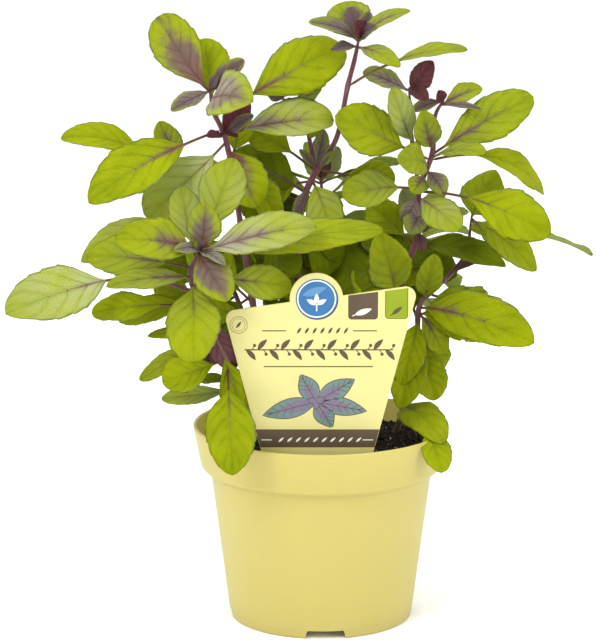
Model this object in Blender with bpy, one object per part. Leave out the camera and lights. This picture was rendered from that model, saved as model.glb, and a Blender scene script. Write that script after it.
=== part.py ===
"""Potted bush basil: a nursery pot with soil and a plant label, and a plant of stems and single leaves.

Sizes and places in the tables are millimetres. The origin is the centre of the pot's underside,
+Z is up and the plant label faces -Y.
"""

import math

import bmesh
import bpy
from mathutils import Matrix, Vector

MM = 0.001
GAP = 0.3  # between two pieces that touch
CUT_PAST = 2.0  # how far a cutter runs past the face that it cuts
WELD = 1e-5

# Pot
POT_HEIGHT = 92.0
RIM_RADIUS = 60.0
RIM_HEIGHT = 19.0
RIM_FOOT_RADIUS = 57.2
STEP_HEIGHT = 3.5
BODY_TOP_RADIUS = 51.8
FOOT_RADIUS = 43.0
WALL = 1.4
POT_SIDES = 64
CORNER = 1.2
FOOT_RING_WIDTH = 3.6
BASE_RECESS = 4.0
BASE_THICKNESS = 1.6
NOTCH_COUNT = 4
NOTCH_TOP_WIDTH = 17.0
NOTCH_FOOT_WIDTH = 18.9
NOTCH_TURN = 2.5  # degrees round from the front
DRAIN_COUNT = 4
DRAIN_RADIUS = 5.0
DRAIN_CIRCLE = 24.0
DRAIN_SIDES = 20

# Soil
SOIL_DEPTH_BELOW_RIM = 10.0
SOIL_DOME = 1.5
SOIL_SHOULDER = (0.8, 0.25)  # share of the edge's radius, and share of the dome that it lies below the top
SOIL_CROWN = 0.45  # share of the edge's radius where the top turns level

# Plant label: a card that narrows to a stake, leaning out from the pot
CARD_THICKNESS = 0.8
CARD_LEAN = 4.9  # degrees
CARD_CLEARANCE = 0.6  # from the pot's wall
CARD_FROM_RIM = 14.6  # from the inside of the rim to the middle of the card, at the height of the rim
CARD_TOP_WIDTH = 87.0
CARD_RIM_WIDTH = 52.0
CARD_OFFSET = -2.0  # sideways
CARD_LEFT_HEIGHT = 64.5  # of the top edge above the rim
CARD_RIGHT_HEIGHT = 75.5
CARD_CORNER = 4.5
CARD_STAKE = 42.0  # below the rim
CARD_POINT = 8.0
CARD_ROUND_RADIUS = 11.9
CARD_ROUND_AT = (-2.6, 69.8)  # centre of the round head, above the rim
CARD_ARC_STEPS = 14
CORNER_ARC_STEPS = 4

# Stems
STEM_SIDES = 6
STEM_SEGMENT = 11.0
STEM_ROOT = 12.0  # how deep each stem stands in the soil
STALK_RADIUS = 0.6

# Leaves
BLADE_THICKNESS = 1.0
STALK_RINGS = 3
BLADE_RINGS = 8
BLADE_FOLD = 0.16
BLADE_FIRST_RING = 0.35  # of a ring's spacing, from the end of the stalk
WIDEST_SHIFT = 0.88  # under 1 moves the widest place towards the stalk
BLADE_FULLNESS = 0.75  # under 1 makes the oval fuller
TIP_HALF_WIDTH = 0.5
TIP_SHARE = 0.35
PLANTED_AT = 82.0  # the height of the soil that the heights in the tables below count on
PLANT_BEHIND_CARD = 44.0  # from the card, at the height of the rim, to the tables' zero

SOIL_TOP = POT_HEIGHT - SOIL_DEPTH_BELOW_RIM

# Each stem is a list of shoots. A shoot is its first and last radius and the points it passes
# through; a stem's first shoot stands in the soil and the others branch off it.
STEMS = {
    "left_stem": {
        "left": (2.0, 1.2, [(-20, 2), (-28, 2, 125), (-35, 0, 170), (-40, -2, 205),
                            (-44, -4, 227), (-49, -6, 239), (-51, -6, 250)]),
        "back_left": (1.4, 1.0, [(-28, 2, 125), (-40, 14, 150), (-54, 24, 180), (-66, 26, 207)]),
    },
    "front_stem": {
        "front": (1.9, 1.2, [(-22, -20), (-34, -36, 106), (-43, -46, 132), (-53, -46, 154),
                             (-59, -43, 171), (-54, -45, 183)]),
        "front_side": (1.1, 0.9, [(-56, -45, 163), (-70, -41, 167), (-84, -44, 171)]),
    },
    "tall_stem": {
        "tall": (2.1, 1.2, [(-4, 4), (-8, 8, 130), (-11, 8, 165), (-9, 7, 194), (-2, 7, 211),
                            (7, 5, 226), (12, 4, 250), (15, 3, 262), (17, 2, 272)]),
        "tall_side": (1.4, 1.1, [(-3, 7, 209), (-5, 9, 222), (-8, 13, 232), (-18, 16, 243)]),
    },
    "right_stem": {
        "right": (2.0, 1.1, [(16, 4), (24, 4, 110), (33, 5, 142), (40, 5, 166), (45, 4, 182),
                             (45, 4, 201), (51, 3, 219), (52, 2, 236), (56, 1, 244)]),
        "right_side": (1.2, 0.9, [(45, 4, 203), (42, 6, 222), (41, 5, 238), (40, 4, 249)]),
    },
    "outer_stem": {
        "outer": (2.0, 1.2, [(35, 12), (39, 8, 97), (43, 7, 112), (45, 6, 130), (46, 6, 147),
                             (54, 8, 155), (62, 10, 163), (68, 11, 172), (70, 12, 188)]),
    },
    "back_stem": {
        "back": (2.0, 1.2, [(2, 22), (6, 34, 125), (4, 42, 165), (0, 46, 200)]),
        "back_side": (1.4, 1.0, [(6, 33, 122), (24, 44, 140), (40, 48, 160), (46, 46, 180)]),
    },
}

# Each leaf: the shoot it grows on, the height of its joint there, its tip, the length of its
# stalk, the width of its blade, the way its upper side faces, and how far it arches that way
# as a share of its length.
LEAVES = {
    "leaf_left_top_1": ("left", 249, (-76, 6, 281), 3, 21, (0, -1, 0.3), 0.05),
    "leaf_left_top_2": ("left", 241, (-54, 14, 271), 6, 20, (0, -1, 0.3), 0.05),
    "leaf_left_top_3": ("left", 249, (-35, -14, 264), 1, 10, (0, -1, 0.6), 0.08),
    "leaf_left_top_4": ("left", 245, (-31, -26, 247), 1, 20, (0.2, -0.8, 0.6), 0.15),
    "leaf_left_1": ("left", 231, (-105, -30, 201), 22, 27, (-0.2, -0.8, 0.6), 0.1),
    "leaf_left_2": ("left", 225, (-79, -14, 190), 8, 25, (-0.2, -0.9, 0.4), 0.08),
    "leaf_left_3": ("left", 222, (-29, -17, 197), 1, 19, (0, -1, 0.4), 0.05),
    "leaf_left_4": ("back_left", 206, (-122, 20, 224), 22, 15, (0, -0.7, 0.7), 0.17),
    "leaf_front_1": ("front", 180, (-39, -36, 223), 12, 21, (0, -1, 0.25), 0.04),
    "leaf_front_2": ("front", 178, (-64, -30, 209), 8, 16, (0.1, -1, 0.3), 0.05),
    "leaf_front_3": ("front", 183, (-51, -52, 205), 1, 15, (0, -1, 0.5), 0.05),
    "leaf_front_4": ("front", 181, (-91, -62, 192), 4, 21, (-0.2, -1, 0.7), 0.06),
    "leaf_front_5": ("front", 182, (-3, -66, 197), 6, 20, (0, -1, 0.8), 0.06),
    "leaf_front_6": ("front", 179, (28, -50, 193), 15, 16, (0, -1, 0.7), 0.07),
    "leaf_front_7": ("front", 181, (-42, -64, 163), 1, 17, (0, -1, 0.6), 0.08),
    "leaf_front_8": ("front", 167, (-13, -40, 166), 17, 17, (0, -1, 0.5), 0.08),
    "leaf_low_left_1": ("front_side", 171, (-136, -96, 166), 17, 27, (-0.3, -1, 0.5), 0.02),
    "leaf_low_left_2": ("front", 174, (-106, -36, 178), 12, 20, (-0.1, -0.9, 0.6), 0.09),
    "leaf_low_left_3": ("back_left", 188, (-112, 0, 170), 22, 17, (-0.2, -0.9, 0.5), 0.1),
    "leaf_low_left_4": ("front", 170, (-95, -66, 170), 2, 13, (-0.2, -0.8, 0.8), 0.06),
    "leaf_low_left_5": ("front", 157, (-103, -50, 155), 18, 15, (-0.2, -0.8, 0.7), 0.08),
    "leaf_low_left_6": ("front", 167, (-56, -66, 136), 2, 25, (-0.1, -1, 0.5), 0.12),
    "leaf_low_left_7": ("front", 133, (-72, -44, 121), 5, 18, (-0.3, -1, 0.4), 0.08),
    "leaf_low_left_8": ("front", 130, (-40, -66, 84), 12, 23, (0, -1, 0.35), 0.1),
    "leaf_crown_1": ("tall", 271, (8, 14, 287), 1, 21, (0, -1, 0.35), 0.04),
    "leaf_crown_2": ("tall", 271, (40, -6, 286), 1, 9, (-0.5, -0.7, 0.8), 0.1),
    "leaf_crown_3": ("tall", 250, (66, -8, 269), 26, 12, (0, -0.45, 1), 0.08),
    "leaf_centre_1": ("left", 238, (13, 14, 266), 18, 27, (0, -0.9, 0.5), 0.13),
    "leaf_centre_2": ("left", 229, (5, -4, 237), 17, 18, (0, -0.8, 0.6), 0.08),
    "leaf_right_top_1": ("right_side", 248, (19, 9, 256), 1, 10, (0, -0.8, 0.6), 0.05),
    "leaf_right_top_2": ("right_side", 224, (36, -18, 250), 4, 15, (0, -1, 0.1), 0.05),
    "leaf_right_top_3": ("right", 219, (97, 2, 246), 9, 20, (0, -1, 0.4), 0.06),
    "leaf_right_top_4": ("right", 216, (105, 22, 199), 19, 18, (0.1, -0.7, 0.8), 0.18),
    "leaf_right_top_5": ("right", 216, (6, -11, 238), 15, 24, (0, -1, 0.5), 0.03),
    "leaf_right_top_6": ("right", 213, (34, -20, 220), 3, 16, (0, -1, 0.4), 0.1),
    "leaf_right_1": ("outer", 188, (80, 0, 212), 1, 20, (0, -1, 0.2), 0.05),
    "leaf_right_2": ("right", 201, (105, -18, 186), 27, 23, (0.1, -1, 0.5), 0.14),
    "leaf_right_3": ("outer", 185, (134.5, 80, 160), 28, 14, (0, -0.1, 1), 0.01),
    "leaf_right_4": ("outer", 186, (100, -5, 166), 3, 16, (0.1, -0.9, 0.4), 0.12),
    "leaf_right_5": ("right", 198, (62, -24, 188), 4, 17, (0, -1, 0.5), 0.1),
    "leaf_right_6": ("right", 176, (85, -12, 170), 3, 16, (0, -0.6, 0.8), 0.06),
    "leaf_low_right_1": ("outer", 146, (97, -26, 136), 16, 24, (0.1, -0.9, 0.5), 0.12),
    "leaf_low_right_2": ("outer", 152, (78, 6, 132), 5, 29, (0.2, -0.8, 0.6), 0.28),
    "leaf_low_right_3": ("right", 150, (26, -22, 187), 8, 21, (0, -1, 0.3), 0.05),
    "leaf_low_right_4": ("outer", 128, (53, -6, 104), 3, 17, (0.2, -1, 0.3), 0.12),
    "leaf_low_right_5": ("outer", 97, (58, -27, 91), 3, 15, (0.2, -0.6, 0.8), 0.2),
    "leaf_back_1": ("back", 198, (-53, 94, 182), 8, 24, (-0.2, 0.7, 0.8), 0.12),
    "leaf_back_2": ("back", 150, (-36, 97, 146), 8, 26, (-0.2, 0.7, 0.8), 0.15),
    "leaf_back_3": ("back", 160, (14, 97, 150), 6, 25, (0, 0.7, 0.8), 0.15),
    "leaf_back_4": ("back_side", 162, (60, 92, 155), 6, 25, (0.2, 0.7, 0.8), 0.15),
    "leaf_back_5": ("back", 198, (29, 84, 187), 6, 22, (0.2, 0.7, 0.8), 0.12),
}


def clear_scene():
    for obj in list(bpy.data.objects):
        bpy.data.objects.remove(obj, do_unlink=True)


def material(name, colour, roughness):
    made = bpy.data.materials.new(name)
    made.use_nodes = True
    shader = made.node_tree.nodes["Principled BSDF"]
    shader.inputs["Base Color"].default_value = (*colour, 1.0)
    shader.inputs["Roughness"].default_value = roughness
    return made


def mesh_object(name, shape, finish=None):
    """An object from a bmesh in millimetres, with its faces turned outwards."""
    shape.normal_update()
    bmesh.ops.recalc_face_normals(shape, faces=shape.faces)
    shape.transform(Matrix.Scale(MM, 4))
    mesh = bpy.data.meshes.new(name)
    shape.to_mesh(mesh)
    shape.free()
    obj = bpy.data.objects.new(name, mesh)
    bpy.context.scene.collection.objects.link(obj)
    if finish:
        mesh.materials.append(finish)
    return obj


def as_cutter(obj):
    obj.hide_render = True
    obj.display_type = "WIRE"
    return obj


def boolean(obj, other, operation):
    made = obj.modifiers.new(other.name, "BOOLEAN")
    made.object = other
    made.operation = operation


def turned(profile, sides):
    """A bmesh turned round Z from (radius, height) points; a point of radius 0 is a pole."""
    shape = bmesh.new()
    rings = []
    for radius, height in profile:
        count = 1 if radius == 0 else sides
        turn = 2 * math.pi / sides
        rings.append([shape.verts.new((radius * math.cos(k * turn), radius * math.sin(k * turn), height))
                      for k in range(count)])
    for lower, upper in zip(rings, rings[1:]):
        for k in range(sides if len(lower) + len(upper) > 2 else 0):
            after = (k + 1) % sides
            corners = [lower[k % len(lower)], lower[after % len(lower)],
                       upper[after % len(upper)], upper[k % len(upper)]]
            shape.faces.new(list(dict.fromkeys(corners)))
    return shape


def prism(outline, low, high, axis="Z"):
    """A bmesh that extrudes a closed outline from low to high, along Z or along Y."""
    shape = bmesh.new()
    place = (lambda p, h: (p[0], p[1], h)) if axis == "Z" else (lambda p, h: (p[0], h, p[1]))
    face = shape.faces.new([shape.verts.new(place(p, low)) for p in outline])
    grown = bmesh.ops.extrude_face_region(shape, geom=[face])["geom"]
    verts = [item for item in grown if isinstance(item, bmesh.types.BMVert)]
    step = (0, 0, high - low) if axis == "Z" else (0, high - low, 0)
    bmesh.ops.translate(shape, verts=verts, vec=step)
    return shape


def round_outline(centre, radius, sides):
    turn = 2 * math.pi / sides
    return [(centre[0] + radius * math.cos(k * turn), centre[1] + radius * math.sin(k * turn))
            for k in range(sides)]


# ---- Pot and soil ----

def outer_radius(height):
    """The outside of the pot's body and rim at a height."""
    rim_foot = POT_HEIGHT - RIM_HEIGHT
    body_top = rim_foot - STEP_HEIGHT
    if height >= rim_foot:
        return RIM_FOOT_RADIUS + (RIM_RADIUS - RIM_FOOT_RADIUS) * (height - rim_foot) / RIM_HEIGHT
    if height >= body_top:
        return BODY_TOP_RADIUS + (RIM_FOOT_RADIUS - BODY_TOP_RADIUS) * (height - body_top) / STEP_HEIGHT
    return FOOT_RADIUS + (BODY_TOP_RADIUS - FOOT_RADIUS) * height / body_top


def wall_heights():
    rim_foot = POT_HEIGHT - RIM_HEIGHT
    return [rim_foot, rim_foot - STEP_HEIGHT]


def make_pot(finish):
    floor_top = BASE_RECESS + BASE_THICKNESS
    ring_inside = FOOT_RADIUS - FOOT_RING_WIDTH
    outside = [(RIM_RADIUS, POT_HEIGHT)] + [(outer_radius(h), h) for h in wall_heights()]
    outside += [(outer_radius(CORNER), CORNER), (FOOT_RADIUS - CORNER, 0)]
    inside = [(outer_radius(h) - WALL, h - WALL / 2) for h in reversed(wall_heights())]
    profile = outside + [(ring_inside, 0), (ring_inside, BASE_RECESS), (0, BASE_RECESS)]
    pot = turned(profile + [(0, floor_top), (outer_radius(floor_top) - WALL, floor_top)] + inside
                 + [(RIM_RADIUS - WALL, POT_HEIGHT), (RIM_RADIUS, POT_HEIGHT)], POT_SIDES)
    bmesh.ops.remove_doubles(pot, verts=pot.verts, dist=WELD)
    obj = mesh_object("pot", pot, finish)
    for cutter in foot_notches() + drain_holes():
        boolean(obj, cutter, "DIFFERENCE")
    return obj


def foot_notches():
    """Wedges that cut the foot ring, so water can run out from under the pot."""
    half_top = NOTCH_TOP_WIDTH / 2
    half_foot = NOTCH_FOOT_WIDTH / 2
    outline = [(-half_foot, -CUT_PAST), (half_foot, -CUT_PAST)]
    outline += [(half_top, BASE_RECESS), (-half_top, BASE_RECESS)]
    cutters = []
    for number in range(NOTCH_COUNT):
        wedge = prism(outline, -FOOT_RADIUS - CUT_PAST, FOOT_RING_WIDTH + CUT_PAST - FOOT_RADIUS, "Y")
        turn = math.radians(NOTCH_TURN + 360 * number / NOTCH_COUNT)
        wedge.transform(Matrix.Rotation(turn, 4, "Z"))
        cutters.append(as_cutter(mesh_object(f"notch_cutter_{number + 1}", wedge)))
    return cutters


def drain_holes():
    cutters = []
    for number in range(DRAIN_COUNT):
        angle = math.radians(NOTCH_TURN + 45 + 360 * number / DRAIN_COUNT)
        centre = (DRAIN_CIRCLE * math.cos(angle), DRAIN_CIRCLE * math.sin(angle))
        outline = round_outline(centre, DRAIN_RADIUS, DRAIN_SIDES)
        hole = prism(outline, BASE_RECESS - CUT_PAST, BASE_RECESS + BASE_THICKNESS + CUT_PAST)
        cutters.append(as_cutter(mesh_object(f"drain_cutter_{number + 1}", hole)))
    return cutters


def make_soil(finish):
    """Soil that fills the pot, with a socket for each stem and a slot for the label."""
    floor = BASE_RECESS + BASE_THICKNESS + GAP
    sides = [(outer_radius(h) - WALL - GAP, h - WALL / 2) for h in reversed(wall_heights())]
    edge = (outer_radius(SOIL_TOP) - WALL - GAP, SOIL_TOP - SOIL_DOME)
    profile = [(0, floor), (outer_radius(floor) - WALL - GAP, floor)] + sides + [edge]
    shoulder, drop = SOIL_SHOULDER
    profile.append((edge[0] * shoulder, SOIL_TOP - SOIL_DOME * drop))
    profile += [(edge[0] * SOIL_CROWN, SOIL_TOP), (0, SOIL_TOP)]
    obj = mesh_object("soil", turned(profile, POT_SIDES), finish)
    for name, shoots in STEMS.items():
        first, _, points = next(iter(shoots.values()))
        low = SOIL_TOP - STEM_ROOT - GAP
        socket = round_outline(root_of(points, low), first + GAP, STEM_SIDES * 2)
        cutter = mesh_object(name + "_socket", prism(socket, low, SOIL_TOP + CUT_PAST))
        boolean(obj, as_cutter(cutter), "DIFFERENCE")
    slot = card_object("label_slot", GAP)
    boolean(obj, as_cutter(slot), "DIFFERENCE")
    return obj


# ---- Plant label ----

def side_at(height, sign):
    """Where the card's side is, sideways, at a height above the rim."""
    mean_height = (CARD_LEFT_HEIGHT + CARD_RIGHT_HEIGHT) / 2
    spread = (CARD_TOP_WIDTH - CARD_RIM_WIDTH) / 2 / mean_height
    return CARD_OFFSET + sign * (CARD_RIM_WIDTH / 2 + spread * height)


def top_edge_at(x):
    """How high the card's slanting top edge is above the rim."""
    left = side_at(CARD_LEFT_HEIGHT, -1)
    right = side_at(CARD_RIGHT_HEIGHT, 1)
    return CARD_LEFT_HEIGHT + (CARD_RIGHT_HEIGHT - CARD_LEFT_HEIGHT) * (x - left) / (right - left)


def arc(centre, radius, start, end, steps):
    return [(centre[0] + radius * math.cos(a), centre[1] + radius * math.sin(a))
            for a in (start + (end - start) * k / steps for k in range(steps + 1))]


def card_at_rim():
    """How far the card stands from the pot's axis: by the rim, or nearer where the wall leaves less room."""
    room = [RIM_RADIUS - WALL - CARD_FROM_RIM]
    lean = math.radians(CARD_LEAN)
    for height in [POT_HEIGHT] + wall_heights():
        up = (height - POT_HEIGHT) / math.cos(lean)
        half_width = max(abs(side_at(up, -1)), abs(side_at(up, 1)))
        inside = outer_radius(height) - WALL - CARD_CLEARANCE
        half_card = CARD_THICKNESS / 2 / math.cos(lean)
        room.append(math.sqrt(inside ** 2 - half_width ** 2) - half_card - up * math.sin(lean))
    return min(room)


def plant_shift():
    """Carries the plant with the soil and with the card in front of it."""
    return Vector((0, PLANT_BEHIND_CARD - card_at_rim(), SOIL_TOP - PLANTED_AT))


def card_outline():
    """The card's outline, sideways and above the rim, from the stake's point round by the right."""
    low = -CARD_STAKE + CARD_POINT
    middle = (side_at(low, -1) + side_at(low, 1)) / 2
    slope = math.atan2(top_edge_at(1) - top_edge_at(0), 1)
    lean = math.atan2(side_at(1, 1) - side_at(0, 1), 1)
    outline = [(middle, -CARD_STAKE), (side_at(low, 1), low)]
    right_height = CARD_RIGHT_HEIGHT - CARD_CORNER
    right = (side_at(right_height, 1) - CARD_CORNER, top_edge_at(side_at(right_height, 1)) - CARD_CORNER)
    outline += arc(right, CARD_CORNER, -lean, math.pi / 2 + slope, CORNER_ARC_STEPS)
    head = CARD_ROUND_AT
    rise = math.acos((top_edge_at(head[0]) - head[1]) * math.cos(slope) / CARD_ROUND_RADIUS)
    outline += arc(head, CARD_ROUND_RADIUS, math.pi / 2 + slope - rise, math.pi / 2 + slope + rise,
                   CARD_ARC_STEPS)
    left_height = CARD_LEFT_HEIGHT - CARD_CORNER
    left = (side_at(left_height, -1) + CARD_CORNER, top_edge_at(side_at(left_height, -1)) - CARD_CORNER)
    outline += arc(left, CARD_CORNER, math.pi / 2 + slope, math.pi + lean, CORNER_ARC_STEPS)
    outline.append((side_at(low, -1), low))
    return outline


def card_object(name, clearance, finish=None):
    """The card, or with a clearance the slot that it stands in, leaning out at the top."""
    outline = card_outline()
    if clearance:
        low = -CARD_STAKE + CARD_POINT
        corners = [(low, 1), (CARD_LEFT_HEIGHT, 1), (CARD_LEFT_HEIGHT, -1), (low, -1)]
        point = (outline[0][0], -CARD_STAKE - clearance * 3)
        outline = [point] + [(side_at(h, sign) + sign * clearance * 2, h) for h, sign in corners]
    half = CARD_THICKNESS / 2 + clearance
    obj = mesh_object(name, prism(outline, -half, half, "Y"), finish)
    obj.location = (0, -card_at_rim() * MM, POT_HEIGHT * MM)
    obj.rotation_euler = (math.radians(CARD_LEAN), 0, 0)
    return obj


# ---- Stems ----

def through(points, spacing):
    """Points about one spacing apart on a smooth curve through the given points."""
    ends = [points[0] * 2 - points[1]] + points + [points[-1] * 2 - points[-2]]
    smooth = []
    for a, b, c, d in zip(ends, ends[1:], ends[2:], ends[3:]):
        steps = max(1, round((c - b).length / spacing))
        for k in range(steps):
            t = k / steps
            smooth.append(0.5 * (2 * b + (c - a) * t + (2 * a - 5 * b + 4 * c - d) * t * t
                                 + (3 * b - 3 * c + d - a) * t ** 3))
    return smooth + [points[-1]]


def root_of(points, height):
    """Where a stem passes a height in the soil, straight under its foot."""
    return Vector((points[0][0], points[0][1] + plant_shift().y, height))


def shoot_route(shoot):
    """The shoot's radii and its smooth route. A first point without a height stands in the soil."""
    first, last, points = shoot
    rooted = len(points[0]) == 2
    start = []
    if rooted:
        start = [root_of(points, SOIL_TOP - STEM_ROOT), root_of(points, SOIL_TOP + GAP)]
    free = [Vector(p) + plant_shift() for p in (points[1:] if rooted else points)]
    route = start[:1] + through(start[1:] + free, STEM_SEGMENT)
    return first, last, route


def radius_at(shoot_data, index, share=0.0):
    first, last, route = shoot_data
    return first + (last - first) * (index + share) / (len(route) - 1)


def tube(name, shoot_data, finish):
    """A round, tapering stem as a curve with filled caps, made a mesh."""
    _, _, route = shoot_data
    curve = bpy.data.curves.new(name, "CURVE")
    curve.dimensions = "3D"
    curve.bevel_depth = MM
    curve.bevel_resolution = STEM_SIDES // 2 - 2
    curve.use_fill_caps = True
    spline = curve.splines.new("POLY")
    spline.points.add(len(route) - 1)
    for index, place in enumerate(route):
        spline.points[index].co = (*(place * MM), 1)
        spline.points[index].radius = radius_at(shoot_data, index)
    guide = bpy.data.objects.new(name + "_route", curve)
    bpy.context.scene.collection.objects.link(guide)
    bpy.context.view_layer.update()
    mesh = bpy.data.meshes.new_from_object(guide.evaluated_get(bpy.context.evaluated_depsgraph_get()))
    bpy.data.objects.remove(guide)
    shape = bmesh.new()
    shape.from_mesh(mesh)
    shape.transform(Matrix.Scale(1 / MM, 4))
    bmesh.ops.remove_doubles(shape, verts=shape.verts, dist=WELD)
    return mesh_object(name, shape, finish)


def make_stem(name, shoots, finish):
    """One stem: its shoots as tubes, grown together."""
    names = list(shoots)
    stem = tube(name, shoot_route(shoots[names[0]]), finish)
    for shoot in names[1:]:
        branch = tube(shoot + "_branch", shoot_route(shoots[shoot]), finish)
        boolean(stem, as_cutter(branch), "UNION")
    return stem


# ---- Leaves ----

def joint_on(shoot_data, height):
    """The middle, direction and radius of a shoot where it passes a height."""
    route = shoot_data[2]
    for index, (a, b) in enumerate(zip(route, route[1:])):
        if height <= b.z or index == len(route) - 2:
            share = min(max((height - a.z) / (b.z - a.z), 0.0), 1.0)
            return a.lerp(b, share), (b - a).normalized(), radius_at(shoot_data, index, share)


def leaf_curve(row, shoot_data):
    """The leaf's start, middle control and tip, and the way it faces."""
    _, height, tip, _, _, face, arch = row
    centre, along, radius = joint_on(shoot_data, height + plant_shift().z)
    tip = Vector(tip) + plant_shift()
    chord = tip - centre
    facing = Vector(face)
    facing = (facing - chord * facing.dot(chord) / chord.length_squared).normalized()
    bend = centre + chord / 2 + facing * chord.length * arch * 2
    out = bend - centre
    out = (out - along * out.dot(along)).normalized()
    start = centre + out * (radius + STALK_RADIUS + GAP / 2)
    return start, bend, tip, facing


def blade_half_width(width, share):
    """Half the blade's width at a share of its length: oval, with a blunt tip."""
    oval = math.sin(math.pi * share ** WIDEST_SHIFT) ** BLADE_FULLNESS
    return max(width / 2 * oval, TIP_HALF_WIDTH)


def leaf_stations(length, stalk, width):
    """Each ring's share of the leaf, its half width and its half thickness."""
    joint = stalk / length
    rings = [(joint * k / STALK_RINGS, STALK_RADIUS, STALK_RADIUS) for k in range(STALK_RINGS)]
    for k in range(BLADE_RINGS):
        share = (k + BLADE_FIRST_RING) / BLADE_RINGS
        rings.append((joint + (1 - joint) * share, blade_half_width(width, share), BLADE_THICKNESS / 2))
    rings.append((1.0, TIP_HALF_WIDTH, BLADE_THICKNESS / 2 * TIP_SHARE))
    return rings


def make_leaf(name, row, shoot_data, finish):
    """A folded blade on a stalk: rings of four points along the leaf's curve."""
    start, bend, tip, facing = leaf_curve(row, shoot_data)
    stalk, width = row[3], row[4]
    shape = bmesh.new()
    rings = []
    for share, half, thick in leaf_stations((tip - start).length, stalk, width):
        place = start * (1 - share) ** 2 + bend * 2 * share * (1 - share) + tip * share ** 2
        along = ((bend - start) * (1 - share) + (tip - bend) * share).normalized()
        across = along.cross(facing).normalized()
        up = across.cross(along)
        lift = up * (half - STALK_RADIUS) * BLADE_FOLD
        corners = [place + across * half + lift, place + up * thick,
                   place - across * half + lift, place - up * thick]
        rings.append([shape.verts.new(c) for c in corners])
    for ring, after in zip(rings, rings[1:]):
        for k in range(4):
            shape.faces.new([ring[k], ring[(k + 1) % 4], after[(k + 1) % 4], after[k]])
    shape.faces.new(rings[0])
    shape.faces.new(rings[-1])
    return mesh_object(name, shape, finish)


def main():
    clear_scene()
    make_pot(material("pot_plastic", (0.80, 0.70, 0.26), 0.45))
    make_soil(material("potting_soil", (0.035, 0.022, 0.016), 0.95))
    card_object("plant_label", 0, material("label_card", (0.88, 0.83, 0.42), 0.4))
    bark = material("stem_skin", (0.16, 0.04, 0.06), 0.55)
    green = material("leaf_green", (0.25, 0.40, 0.02), 0.5)
    shoots = {}
    for name, parts in STEMS.items():
        make_stem(name, parts, bark)
        shoots.update({shoot: shoot_route(data) for shoot, data in parts.items()})
    for name, row in LEAVES.items():
        make_leaf(name, row, shoots[row[0]], green)


main()
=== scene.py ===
import math
import random

import bmesh
import bpy
from mathutils import Matrix, Vector


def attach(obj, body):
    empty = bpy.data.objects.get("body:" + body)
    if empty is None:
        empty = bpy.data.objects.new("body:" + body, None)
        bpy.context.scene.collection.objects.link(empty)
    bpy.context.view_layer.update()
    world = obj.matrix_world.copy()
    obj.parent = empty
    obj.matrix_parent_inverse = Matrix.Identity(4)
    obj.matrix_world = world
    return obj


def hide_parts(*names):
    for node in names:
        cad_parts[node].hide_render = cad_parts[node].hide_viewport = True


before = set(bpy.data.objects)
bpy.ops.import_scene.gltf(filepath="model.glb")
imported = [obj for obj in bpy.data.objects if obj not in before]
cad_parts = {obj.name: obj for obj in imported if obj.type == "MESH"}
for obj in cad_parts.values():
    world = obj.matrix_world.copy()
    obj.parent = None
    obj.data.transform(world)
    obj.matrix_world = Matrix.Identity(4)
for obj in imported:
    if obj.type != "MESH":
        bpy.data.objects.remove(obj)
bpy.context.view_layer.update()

# A potted bush basil with a printed plant label, built round the frame of its solid model.
# Sizes and places are millimetres unless a comment says otherwise, as in the solid model.
MM = 0.001

# Pot
POT_HEIGHT = 92.0
RIM_RADIUS = 60.0
RIM_HEIGHT = 19.0
RIM_FOOT_RADIUS = 57.2
STEP_HEIGHT = 3.5
BODY_TOP_RADIUS = 51.8
FOOT_RADIUS = 43.0
WALL = 1.4
POT_SIDES = 160
FOOT_RING_WIDTH = 3.6
BASE_RECESS = 4.0
BASE_THICKNESS = 1.6
NOTCH_COUNT = 4
NOTCH_TOP_WIDTH = 17.0
NOTCH_FOOT_WIDTH = 18.9
NOTCH_TURN = 2.5
DRAIN_COUNT = 4
DRAIN_RADIUS = 5.0
DRAIN_CIRCLE = 24.0

# Soil
SOIL_TOP = 82.0
SOIL_GAP = 0.3
SOIL_SIDES = 132
SOIL_RINGS = 34
SOIL_EDGE_DROP = 1.2
SOIL_LUMPS = 2.2
# Where the soil rises round a stem: x and y, how high, and how wide.
MOUNDS = ((36, 12, 3.4, 9), (16, 4, 1.6, 8), (-20, 2, 1.8, 9), (-4, 4, 1.4, 8), (2, 22, 1.6, 8))
# What lies strewn on the soil: its material, grains in a square metre, smallest and largest
# radius, how drawn out a grain is, how deep it sinks, and the seed.
GRAINS = {
    "soil_crumbs": ("peat", 250000.0, 0.5, 1.6, 1.25, 0.1, 3),
    "soil_specks": ("pale_speck", 9000.0, 0.3, 0.7, 1.2, -0.3, 7),
    "soil_fibres": ("wood_fibre", 16000.0, 0.16, 0.3, 14.0, -0.4, 11),
}

# Plant label
CARD_THICKNESS = 0.8
CARD_LEAN = 4.9
CARD_AT_RIM = 44.0
CARD_TOP_WIDTH = 87.0
CARD_RIM_WIDTH = 52.0
CARD_OFFSET = -2.0
CARD_LEFT_HEIGHT = 64.5
CARD_RIGHT_HEIGHT = 75.5
CARD_CORNER = 4.5
CARD_STAKE = 42.0
CARD_POINT = 8.0
CARD_ROUND_RADIUS = 11.9
CARD_ROUND_AT = (-2.6, 69.8)
CARD_EDGE = 0.12

# Print on the label, in places across and up the card from the middle of the rim line
INK_LAYER = 0.05
BADGE = (-2.5, 69.8)
STAMP = (-37.4, 57.6)
GARLAND_HEIGHT = 46.0
GARLAND_LEAVES = 13
GARLAND_STEP = 5.2
BAND_TOP = 8.3
BAND_FOOT = -0.3
SPRIG = (-2.5, 21.5)
# The tip and the width of each leaf of the sprig
SPRIG_LEAVES = (((-26.5, 15.0), 8.8), ((-9.5, 34.0), 8.6), ((14.5, 32.0), 8.8),
                ((4.5, 9.6), 8.8), ((20.0, 17.0), 8.0))

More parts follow.
